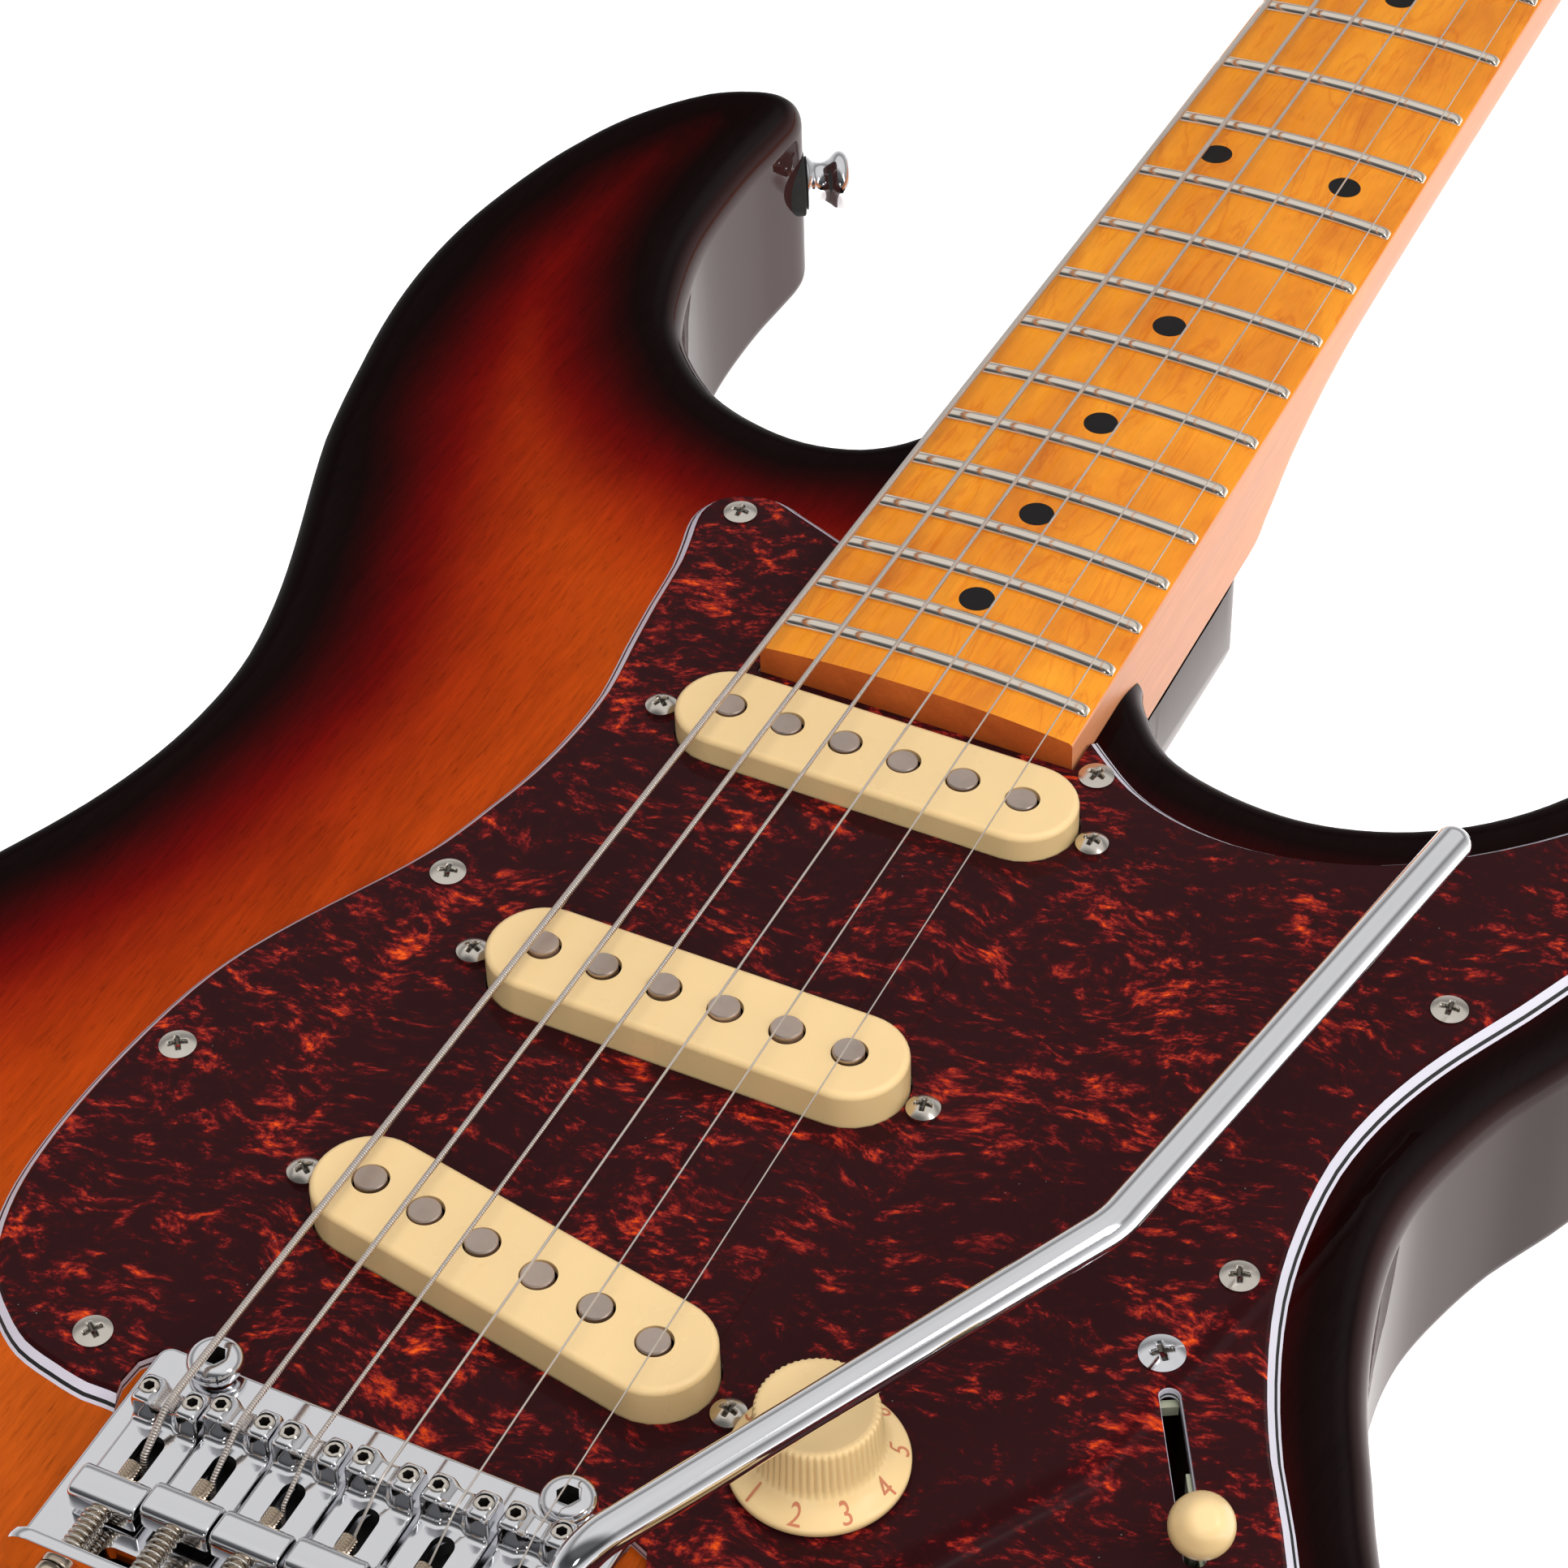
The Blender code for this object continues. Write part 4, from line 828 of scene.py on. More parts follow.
def block(low, high):
    (x0, y0, z0), (x1, y1, z1) = low, high
    return prism([(x0, y0), (x1, y0), (x1, y1), (x0, y1)], z0, z1)


def rod(start, end, radius, sides=24):
    reach = Vector(end) - Vector(start)
    return Shape().turned([(radius, 0), (radius, reach.length)], start, reach, sides)


def softened(outline, low, high, top_r, low_r=0.0, steps=4):
    """Rings of a plate with rounded top and bottom edges, from the bottom up."""
    rings = []
    if low_r:
        for k in range(steps):
            a = math.pi / 2 * k / steps
            rings.append(flat(inset(outline, low_r * (1 - math.sin(a))),
                              low + low_r * (1 - math.cos(a))))
    else:
        rings.append(flat(outline, low))
    for k in range(steps + 1):
        a = math.pi / 2 * k / steps
        rings.append(flat(inset(outline, top_r * (1 - math.cos(a))),
                          high - top_r * (1 - math.sin(a))))
    return rings


def sag(x):
    return BOARD_RADIUS - math.sqrt(BOARD_RADIUS**2 - x * x)


def half_width(y):
    t = (y - BOARD_Y[0]) / (BOARD_Y[1] - BOARD_Y[0])
    return BOARD_HALF[0] + (BOARD_HALF[1] - BOARD_HALF[0]) * t


def string_x(i, y):
    side = i - (STRINGS - 1) / 2
    return side * (BRIDGE_PITCH + (NUT_PITCH - BRIDGE_PITCH) * y / SCALE)


def string_break(i):
    x = string_x(i, 0)
    return x, SADDLE_Y[i], STRING_Z_BRIDGE - sag(x)


def string_nut(i):
    x = string_x(i, SCALE)
    return x, NUT_Y[0] + 1.6, STRING_Z_NUT - sag(x) + STRING_RADII[i] - 0.3


def post_centre(i):
    y = POST_Y + POST_STEP_Y * i
    return string_x(i, y) - POST_R - STRING_RADII[i] - 0.35, y


def wrap_z(i):
    return 51.6 - 0.75 * i


# ---------------------------------------------------------------- body


def gaps_to(points, outline):
    """The distance from each point to a closed outline."""
    a = np.array(outline)
    reach = np.roll(a, -1, 0) - a
    p = np.asarray(points)[:, None, :]
    t = np.clip(((p - a) * reach).sum(-1) / (reach**2).sum(-1), 0, 1)
    return np.linalg.norm(p - (a + reach * t[..., None]), axis=-1).min(1)


def within(points, outline):
    """Whether each point lies inside a closed outline."""
    a = np.array(outline)
    b = np.roll(a, -1, 0)
    x, y = points[:, 0][:, None], points[:, 1][:, None]
    rise = np.where(b[:, 1] == a[:, 1], 1e-12, b[:, 1] - a[:, 1])
    crossing = (b[:, 0] - a[:, 0]) * (y - a[:, 1]) / rise + a[:, 0]
    hits = ((a[:, 1] > y) != (b[:, 1] > y)) & (x < crossing)
    return hits.sum(1) % 2 == 1


def scoop(x, y, start, way, radius, long, most):
    """How deep a contour curves away from the face at a point."""
    wx, wy = Vector(way).normalized()
    f = min(max((x - start[0]) * wx + (y - start[1]) * wy, 0.0), most)
    side = -(x - start[0]) * wy + (y - start[1]) * wx
    share = min(max((abs(2 * side / long) - 0.3) / 0.85, 0.0), 1.0)
    drop = (radius - math.sqrt(radius**2 - f * f)) * (1 - share * share * (3 - 2 * share))
    return max((drop + math.sqrt(drop * drop + 1.4)) / 2 - 0.6, 0.0)


def shaped_z(x, y, z):
    """The height of a body point after the forearm contour and the one on the back."""
    high = scoop(x, y, (-96.0, -30.0), (-0.85, -0.53), 150.0, 230.0, 75.0)
    low = scoop(x, y, (-60.0, 108.0), (-0.95, 0.3), 100.0, 190.0, 55.0)
    share = min(max((z - 10) / (BODY_T - 10), 0), 1)
    return z - high * share + low * (1 - min(max(z / 32, 0), 1))


def body_solid():
    """The body before its cavities, with a grid of points on both faces for the contours."""
    outline = curve_through(BODY_OUTLINE, 4, True)
    rings = []
    for k in range(6):
        a = math.pi / 2 * k / 5
        rings.append((BACK_ROUND * (1 - math.sin(a)), BACK_ROUND * (1 - math.cos(a))))
    for k in range(10):
        a = math.pi / 2 * k / 9
        rings.append((BODY_ROUND * (1 - math.cos(a)), BODY_T - BODY_ROUND * (1 - math.sin(a))))
    shape = Shape()
    shape.loft([flat(inset(outline, d), z) for d, z in rings], caps=False)
    count = len(outline)
    step = 5.0
    grid = np.array([(x, y) for x in np.arange(-165, 166, step)
                     for y in np.arange(-135, 336, step)])
    for first, z in ((0, 0.0), ((len(rings) - 1) * count, BODY_T)):
        rim = np.array([p[:2] for p in shape.points[first:first + count]])
        spots = grid[within(grid, rim)]
        spots = spots[gaps_to(spots, rim) > 2.5]
        flat_points = [Vector(p) for p in rim] + [Vector(p) for p in spots]
        made = delaunay_2d_cdt(flat_points, [], [list(range(count))], 1, 1e-6)
        base = len(shape.points)
        shape.points += [(p.x, p.y, z) for p in flat_points[count:]]
        index = []
        for spot, ids in zip(made[0], made[3]):
            if not ids:
                shape.points.append((spot.x, spot.y, z))
            index.append((first + ids[0] if ids[0] < count else base + ids[0] - count) if ids
                         else len(shape.points) - 1)
        faces = [tuple(index[v] for v in face) for face in made[2]]
        shape.faces += faces
        shape.looks += [0] * len(faces)
    shape.points = [(x, y, shaped_z(x, y, z)) for x, y, z in shape.points]
    return shape, outline


def make_body():
    shape, outline = body_solid()
    body = loose(shape, "body_wood")
    fit = 0.12
    near, far = half_width(BOARD_Y[0]) + fit, half_width(252) + fit
    lip = half_width(205.0) + fit
    pocket = [(-near, 173.4), (near, 173.4), (lip, 202), (32, 204.5), (32, 270), (-far, 270)]
    controls = [
        (40, 30), (40, 58), (62, 70), (82, 84), (94, 78), (114, 42), (121, 20), (121, -14),
        (114, -38), (100, -50), (84, -50), (70, -34), (58, -8), (50, 10),
    ]
    heel = [(22.0, -1), (24.0, 4), (26.4, 11), (28.2, 19), (29.5, 26), (40, 26), (40, -1)]
    ends = ((201.0, 6.0), (213.0, 0.0), (268.0, 0.0))
    cuts = [
        prism(pocket, POCKET_Z, 60),
        block((-44, 21, 26), (44, 169.6, 60)),
        prism(controls, 8, 60),
        prism(stadium(JACK_AT, JACK_ALONG, 54, 23), 12, 60),
        block((95, -68, 14), (112, -40, 34)),
        block((-36.4, -29.5, 12), (33.2, -1.6, 60)),
        block((-36.4, -39, -5), (33.2, 6, 18)),
        block((-30, 2, -5), (30, 108, 18)),
        prism(rounded((-50.3, -48.3), (50.3, 118.3), 8.3), -5, 2.0),
        Shape().loft([[(x + s, y, z) for x, z in heel] for y, s in ends]),
    ]
    cuts += [rod((s * TREM_POST[0], TREM_POST[1], 20), (s * TREM_POST[0], TREM_POST[1], 60), 3.9)
             for s in (-1, 1)]
    cut(body, cuts)
    spots = np.array([v.co[:2] for v in body.data.vertices]) / MM
    gaps = np.concatenate([gaps_to(part, outline) for part in np.array_split(spots, 12)])
    edge = body.data.attributes.new("edge_mm", "FLOAT", "POINT")
    edge.data.foreach_set("value", gaps.astype(np.float32))
    settle(body, "burst", "guitar", "body", 40)


# ---------------------------------------------------------------- screws


def cross_head(radius, dome, rim, arm, width, depth, rings=20, sides=64):
    """A screw's head: a dome with a cross recess, local +Z out of the head."""
    def gap(x, y, a, b):
        dx, dy = abs(x) - a, abs(y) - b
        return math.hypot(max(dx, 0), max(dy, 0)) + min(max(dx, dy), 0)

    shape = Shape()
    layers = []
    for k in range(rings, 0, -1):
        r = radius * k / rings
        ring = []
        for j in range(sides):
            a = 2 * math.pi * j / sides
            x, y = r * math.cos(a), r * math.sin(a)
            z = rim + dome * (1 - (r / radius) ** 2)
            near = min(gap(x, y, arm, width), gap(x, y, width, arm))
            share = min(max(0.5 - near / 0.3, 0.0), 1.0)
            taper = max(1 - r / (arm * 1.6), 0.25)
            ring.append((x, y, z - depth * share * share * (3 - 2 * share) * taper))
        layers.append(ring)
    under = [circle(radius * s, z, sides)
             for s, z in ((0.45, -1.6), (0.97, -0.05), (1.0, 0.05), (1.0, rim * 0.7))]
    shape.loft(under + layers)
    tops = [rim + dome * (1 - (math.hypot(*p[:2]) / radius) ** 2) for p in shape.points]
    deep = [top - p[2] > depth * 0.3 and p[2] > -1 for p, top in zip(shape.points, tops)]
    first = len(under) * sides
    shape.looks = [int(min(f) >= first and sum(deep[i] for i in f) * 2 > len(f))
                   for f in shape.faces]
    return shape


def hex_screw(radius, socket, high, depth, sides=36):
    """A grub screw with a six-sided socket, its hollow in the second look, a painted shade."""
    rim = 0.25
    rings = [circle(r, z, sides)
             for r, z in ((radius, 0), (radius, high - rim), (radius - rim, high))]
    rings += [hexagon(socket, z, sides) for z in (high, high - depth)]
    return hollowed(Shape().loft(rings), sides)


def screw_head(name, metal, *sizes):
    """A cross-head screw ready to copy; sizes are those of cross_head."""
    return ready_mesh(cross_head(*sizes), name, (metal, "recess"), 50)


def fasten(name, head, spot, axis=(0, 0, 1), spin=0.0):
    """A copy of a screw's head on the guitar itself."""
    return copy_at(name, head, spot, axis, "guitar", spin)


def hollowed(shape, sides):
    """Gives a loft's last wall and its floor the second look, which callers fill with dark painted
    shade.
    """
    shape.looks = [int(f == 1 or f >= len(shape.faces) - sides) for f in range(len(shape.faces))]
    return shape


def thread(path_start, path_end, radius, pitch=0.5, depth=0.13, sides=16):
    """A threaded rod drawn as close ridges."""
    reach = Vector(path_end) - Vector(path_start)
    count = int(reach.length / pitch * 2)
    profile = [(radius - depth * (k % 2), reach.length * k / count) for k in range(count + 1)]
    return Shape().turned(profile, path_start, reach, sides)


def coil(start, end, radius, wire, turns, per_turn=14, sides=6):
    """A spring's wire from start to end."""
    along, u, v = frame_on(Vector(end) - Vector(start))
    long = (Vector(end) - Vector(start)).length
    total = int(turns * per_turn)
    path = []
    for k in range(total + 1):
        a = 2 * math.pi * k / per_turn
        path.append(Vector(start) + along * (long * k / total)
                    + (u * math.cos(a) + v * math.sin(a)) * radius)
    return Shape().tube(path, wire, sides)


# ---------------------------------------------------------------- pickguard, pickups, controls


def pickup_axis(slant):
    span = 5 * POLE_PITCH
    return math.sqrt(span**2 - slant**2) / span, -slant / span


def make_pickguard():
    """Four plies with one sloping edge; GUARD_LEVELS are (height, distance inward)."""
    outline = []
    for run in PICKGUARD_RUNS:
        outline += curve_through(run, 3, False)[:-1]
    rings = [flat(shrunk(outline, inward), z) for z, inward in GUARD_LEVELS]
    below, above, gap = 40, 50, 0.7
    for name, look, picks in GUARD_PLIES:
        ply = loose(Shape().loft([rings[k] for k in picks]), name, True)
        lift = 0.3 if look == "tortoise" else 0.0
        tools = Shape()
        for _, y, slant, _, _ in PICKUPS:
            shape = stadium((0, y), pickup_axis(slant), COVER_LONG + gap, COVER_WIDE + gap)
            tools.loft([flat(shape, below), flat(shape, above)])
        for _, x, y in KNOBS:
            tools.turned([(4.0, below), (4.0, above)], (x, y, 0))
        slot = stadium(SLOT_CENTRE, SLOT_ALONG, 31.0 + lift, 2.9 + lift)
        for edge in (slot, GUARD_NECK_CUT, GUARD_PLATE_CUT):
            tools.loft([flat(edge, below), flat(edge, above)])
        cut(ply, [tools])
        settle(ply, look, "guitar", "pickguard" if lift else (), 15)
    head = screw_head("guard_screw", "nickel", 2.9, 0.55, 0.35, 1.5, 0.36, 1.0)
    for k, (x, y) in enumerate(GUARD_SCREWS):
        fasten(f"pickguard_screw_{k + 1}", head, (x, y, GUARD_TOP_Z), spin=k * 1.9)
    head = screw_head("switch_screw", "chrome", 3.4, 0.7, 0.3, 1.7, 0.42, 1.2)
    for k, (x, y) in enumerate(SWITCH_SCREWS):
        fasten(f"switch_screw_{k + 1}", head, (x, y, GUARD_TOP_Z), spin=0.7 + k)


def make_pickups():
    head = screw_head("height_screw", "nickel", 2.65, 1.1, 0.9, 1.35, 0.34, 1.3)
    for name, y, slant, top, proud in PICKUPS:
        along = pickup_axis(slant)
        at = (0.0, y)
        outer = stadium(at, along, COVER_LONG, COVER_WIDE, 20)
        cover = loose(Shape().loft(softened(outer, 33.0, top, 1.1, 0.0, 5)), f"cover_{name}")
        tools = [prism(stadium(at, along, COVER_LONG - 3, COVER_WIDE - 3, 10), 30, top - 1.5)]
        holes = Shape()
        poles = Shape()
        for i in range(STRINGS):
            f = (i - 2.5) * POLE_PITCH
            px, py = f * along[0], y + f * along[1]
            holes.turned([(POLE_R + 0.4, 30), (POLE_R + 0.4, 60)], (px, py, 0))
            high = top + proud
            shift = -0.12 if i % 2 else 0.1
            poles.turned([(POLE_R, 31), (POLE_R, high - 0.2), (POLE_R - 0.2, high)],
                         (px - 0.1, py + shift, 0), sides=40)
        cut(cover, tools + [holes])
        settle(cover, "cream", "guitar", f"pickup_cover_{name}")
        coil_shape = Shape()
        for z0, z1, grow, look in ((32, 34, 2, 0), (34, top - 6, -1.5, 1),
                                   (top - 6, top - 4, 2, 0)):
            ring = stadium(at, along, 60 + grow, 10 + grow)
            coil_shape.loft([flat(ring, z0), flat(ring, z1)], look=look)
        coil_shape.piece(f"pickup_bobbin_{name}", ("black", "copper"), "guitar", "plain_steel")
        poles.piece(f"pickup_poles_{name}", "pole", "guitar", "plain_steel", f"pickup_coil_{name}")
        tilt = 6.6 if slant else 0.0
        for side in (-1, 1):
            spot = (side * 38.4, y - (0.7 if not slant else side * tilt + 0.6), GUARD_TOP_Z)
            fasten(f"pickup_screw_{name}_{'ab'[side > 0]}", head, spot, spin=y + side)


KNOB_SKIRT = ((12.55, 47.02), (12.8, 47.3), (12.85, 48.1), (12.6, 48.45), (12.0, 48.75),
              (11.3, 49.15), (10.6, 49.65), (10.0, 50.25), (9.6, 50.85))
KNOB_GRIP = ((9.35, 51.2), (9.25, 52.5), (9.1, 54.5), (8.95, 56.5), (8.82, 58.3), (8.7, 58.95))
RIBS = 54


def make_knobs():
    per = 6
    sides = RIBS * per
    rings = [circle(r, z, sides) for r, z in ((3.3, 55.0), (3.3, 47.1)) + KNOB_SKIRT]
    for k, (r, z) in enumerate(KNOB_GRIP):
        deep = 0.3 if k else 0.12
        ring = []
        for j in range(sides):
            a = 2 * math.pi * j / sides
            ribbed = r - deep * (1 - abs(math.sin(RIBS * a / 2)))
            ring.append((ribbed * math.cos(a), ribbed * math.sin(a), z))
        rings.append(ring)
    rings += [circle(r, z, sides) for r, z in ((8.3, 59.2), (7.6, 59.2), (7.3, 59.05), (3.0, 59.0))]
    mesh = ready_mesh(Shape().loft(rings), "knob", "cream", 55)
    numbers = ready_mesh(skirt_numbers(), "knob_numbers", "print")
    bodies = {"volume": "volume_knob", "tone_a": "tone_knob_a", "tone_b": "tone_knob_b"}
    for name, x, y in KNOBS:
        for label, source in (("knob_shell", mesh), ("knob_scale", numbers)):
            made = linked(f"{label}_{name}", source)
            made.location = (x * MM, y * MM, 0)
            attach(made, bodies[name])
            if source is mesh:
                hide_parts(f"knob_{name}")


def skirt_numbers():
    """The figures 1 to 10 wrapped on the knob's skirt."""
    middle_r = 11.3
    radii = [r for r, _ in KNOB_SKIRT[2:]][::-1]
    heights = [z for _, z in KNOB_SKIRT[2:]][::-1]
    shape = Shape()
    for number in range(1, 11):
        text = bpy.data.curves.new("figure", "FONT")
        text.body = str(number)
        text.size = 3.9
        text.align_x = "CENTER"
        text.align_y = "CENTER"
        text.extrude = 0.02
        text.resolution_u = 3
        holder = linked("figure", text)
        graph = bpy.context.evaluated_depsgraph_get()
        mesh = bpy.data.meshes.new_from_object(holder.evaluated_get(graph))
        bpy.data.objects.remove(holder, do_unlink=True)
        turn = math.radians(-80.0 + 36.0 * (number - 2))
        points = []
        for v in mesh.vertices:
            r = middle_r - v.co.y
            a = turn + v.co.x / middle_r
            z = float(np.interp(r, radii, heights)) + 0.035 + v.co.z
            points.append((r * math.cos(a), r * math.sin(a), z))
        shape.add(points, [tuple(p.vertices) for p in mesh.polygons])
    return shape


def make_switch_frame():
    """The pale metal rail seen inside the switch slot."""
    along = Vector((*SLOT_ALONG, 0))
    side = Vector((-SLOT_ALONG[1], SLOT_ALONG[0], 0))
    centre = Vector((*SLOT_CENTRE, 0))
    rail = Shape()
    for start, end, near, low, high in ((-2.0, 15.4, 0.85, 36.0, 43.9),
                                        (-15.4, -14.1, -1.4, 41.6, 43.4)):
        ring = [centre + along * f + side * w for f, w in
                ((start, near), (end, near), (end, 1.42), (start, 1.42))]
        rail.loft([[(p.x, p.y, z) for p in ring] for z in (low, high)])
    rail.piece("switch_rail", "lever", "guitar", "plain_steel")


def make_lever():
    along = Vector((*SLOT_ALONG, 0))
    side = Vector((-SLOT_ALONG[1], SLOT_ALONG[0], 0))
    pivot = Vector((*SLOT_CENTRE, LEVER_PIVOT_Z))
    a = math.radians(LEVER_TILT)
    up = along * math.sin(a) + Vector((0, 0, math.cos(a)))
    across = along * math.cos(a) - Vector((0, 0, math.sin(a)))
    rings = []
    for far, back, front in ((-3.0, 3.0, 3.0), (10.0, 3.0, 3.0), (18.0, 3.9, 2.4), (22.0, 3.9, 2.2),
                             (23.4, 2.8, 2.0), (29.3, 2.8, 2.0), (31.0, 3.6, 2.0),
                             (34.0, 3.2, 2.0), (36.0, 2.2, 1.9), (LEVER_LONG, 1.9, 1.9)):
        ring = []
        for f, s in ((front, 0.5), (front - 0.3, 0.7), (0.3 - back, 0.7), (-back, 0.5),
                     (-back, -0.5), (0.3 - back, -0.7), (front - 0.3, -0.7), (front, -0.5)):
            ring.append(pivot + up * far + across * f + side * s)
        rings.append(ring)
    Shape().loft(rings).piece("switch_blade", "lever", "switch", "plain_steel")
    tip = [(1.2, -4.55), (2.6, -4.4), (3.5, -3.7), (4.15, -2.6), (4.5, -1.2), (4.6, 0.0),
           (4.45, 1.2), (4.0, 2.2), (3.4, 3.1), (2.9, 3.9), (2.2, 4.5), (1.2, 4.85)]
    Shape().turned(tip, pivot + up * LEVER_LONG, up, 40).piece(
        "switch_tip", "cream", "switch", "cream_plastic", "switch_lever", 60)


# ---------------------------------------------------------------- bridge


def make_bridge():
    (x0, x1), (y0, y1) = PLATE_X, PLATE_Y
    ax, ay = ARM_AT
    side = rounded((x0, y0), (x1, y1), 2.2, 5)
    ear = [(x1, ay + 9.5), (41.0, ay + 6.0), (41.8, ay + 4.4), (41.8, ay - 4.4), (41.0, ay - 6.0),
           (x1, ay - 9.5)]
    outline = [p for p in side if not (p[0] > x1 - 0.01 and y0 + 3 < p[1] < y1 - 3)]
    turn = [i for i, p in enumerate(outline) if p[0] > x1 - 3 and p[1] > 0][0]
    outline = outline[turn:] + outline[:turn] + ear[::-1]
    plate = loose(Shape().loft(softened(outline, *PLATE_Z, 0.9, 0.4, 4)), "plate")
    wall_x = [(x0 + 1.0, 49.6), (x1 - 1.0, 49.6), (x1 - 1.0, 54.2)]
    wall_x += [(x1 - 5.6 + 4.6 * math.cos(a), 54.2 + 4.4 * math.sin(a))
               for a in (math.pi / 2 * k / 6 for k in range(1, 7))]
    wall_x += [(x0 + 5.6 - 4.6 * math.cos(a), 54.2 + 4.4 * math.sin(a))
               for a in (math.pi / 2 * (6 - k) / 6 for k in range(0, 6))]
    wall_x += [(x0 + 1.0, 54.2)]
    rings = []
    for d, y in ((0.8, y0), (0.25, y0 + 0.15), (0.0, y0 + 0.6), (0.0, y0 + 1.6),
    (0.25, y0 + 2.05),
                 (0.8, y0 + 2.2)):
        rings.append([(x, y, z) for x, z in inset(wall_x, d)])
    boss = Shape().turned([(4.2, 46.8), (4.2, 50.0)], (ax, ay, 0), sides=32)
    cut(plate, [Shape().loft(rings), boss], "UNION")
    tools = []
    for s in (-1, 1):
        px, py = s * TREM_POST[0], TREM_POST[1]
        hole = Shape().turned([(3.0, 40), (3.0, 50.2), (3.0, 56)], (px, py, 0), sides=32)
        tools += [hole, block((px - 3.0, py, 40), (px + 3.0, py + 8, 56))]
    for i in range(STRINGS):
        x = string_x(i, 0)
        slot = stadium((x, STRING_HOLE_Y + 0.8), (0, 1), 13.4, 3.6)
        tools.append(prism(slot, 40, 55))
        if i < STRINGS - 1:
            tools.append(prism(stadium((x + 5.6, -27.6), (1, 0), 6.4, 3.0), 40, 53))
        tools.append(rod((x, -40, 53.6), (x, -30, 53.6), 1.5))
    tools.append(rod((ax, ay, 40), (ax, ay, 60), ARM_R + 0.3))
    cut(plate, tools)
    settle(plate, "chrome", "tremolo_bridge", "bridge_plate", 38)
    # the tremolo block takes the near-black painted shade
    wear("trem_block", "shade")
    collar = [(2.9, 51.0), (4.3, 51.05), (4.6, 51.4), (4.6, 52.6), (4.2, 53.0), (2.95, 53.1)]
    Shape().turned(collar, (ax, ay, 0), sides=36).piece(
        "arm_collar", "chrome", "tremolo_bridge", "chrome_hardware")


def saddle_profile(x, i):
    """The saddle's side view at x from its middle: (y, z) from the string's break and the foot."""
    side = min(max((abs(x) - 0.5) / 1.9, 0.0), 1.0)
    lobe = side * side * (3 - 2 * side)
    crown = 1 - 0.1 * max(abs(abs(x) - 3.4) - 0.8, 0.0) ** 2
    valley = SADDLE_HIGH - STRING_RADII[i] - 0.03
    high = valley + (6.15 * crown - valley) * lobe
    front = 1.7 + 0.35 * lobe
    back = -2.1 - 0.8 * lobe * crown
    slab = 1.35
    return [(front - 0.25, 0.0), (front, 0.35), (front, high - 1.1), (front - 0.15, high - 0.55),
            (front - 0.5, high - 0.15), (front - 1.0, high), (back + 0.9, high),
            (back + 0.45, high - 0.1), (back + 0.15, high - 0.4), (back, high - 0.9),
            (back - 0.03, slab + 1.7), (back - 0.1, slab + 0.9), (back - 0.3, slab + 0.42),
            (back - 0.7, slab + 0.12), (back - 1.3, slab), (-12.5, slab), (-13.0, slab + 0.15),
            (-13.25, slab + 0.7), (-13.35, 3.1), (-13.6, 3.7), (-14.2, 4.1), (-15.0, 4.22),
            (-17.2, 4.22), (-18.2, 4.05), (-18.8, 3.5), (-19.0, 2.8), (-19.0, 0.4), (-18.7, 0.0)]


def make_saddles():
    grub = ready_mesh(hex_screw(1.42, 0.85, 5.45, 2.4), "grub_screw", ("nickel", "socket"), 30)
    ends = (-5.28, -5.2, -5.0, -4.7, -4.2, -3.6, -3.0, -2.4, -1.9, -1.5, -1.1, -0.7, -0.35)
    stations = ends + (0.0,) + tuple(-x for x in reversed(ends))
    for i in range(STRINGS):
        bx, by, bz = string_break(i)
        foot = bz - SADDLE_HIGH
        screw_z = foot + SADDLE_SCREW_UP
        rings = []
        for x in stations:
            profile = saddle_profile(x, i)
            pinch = max(abs(x) - 4.7, 0) / 0.58
            pinch = 1 - math.sqrt(max(1 - pinch**2, 0.0))
            ring = []
            for y, z in shrunk(profile, 0.4 * pinch):
                ring.append((bx + x, by + y, foot + z))
            rings.append(ring)
        saddle = loose(Shape().loft(rings), f"saddle_shell_{i + 1}", True)
        slot = prism(stadium((bx, by - 8.7), (0, 1), 8.6, 3.5), foot - 2, bz - 0.6)
        screws = [(bx + s * 3.5, by - 0.3) for s in (-1, 1)]
        cut(saddle, [slot] + [rod((*at, foot + 2), (*at, foot + 9), 1.5, 36) for at in screws])
        settle(saddle, "chrome", "tremolo_bridge", f"saddle_{i + 1}", 42)
        for end, side, at in zip("ab", (-1, 1), screws):
            copy_at(f"saddle_grub_{i + 1}{end}", grub, (*at, bz - 4.35), (0, 0, 1),
                    "tremolo_bridge", 0.4 * i + side)
        screw = thread((bx, by - 10.4, screw_z), (bx, -32.0, screw_z), 1.2)
        screw.turned([(0.5, -3.4), (1.5, -3.2), (2.2, -2.5), (2.5, -1.5), (2.5, -0.3), (2.3, 0)],
                     (bx, -34.5, screw_z), (0, 1, 0), 28)
        screw.piece(f"intonation_screw_{i + 1}", "thread", "tremolo_bridge", "chrome_hardware",
                    (), 40)
        turns = 9.0 + 0.5 * (i % 2)
        spring = coil((bx, by - 19.1, screw_z), (bx, -32.3, screw_z), 1.5, 0.27, turns, 16, 8)
        spring.piece(f"intonation_spring_{i + 1}", "nickel", "tremolo_bridge",
                     "chrome_hardware", (), 60)


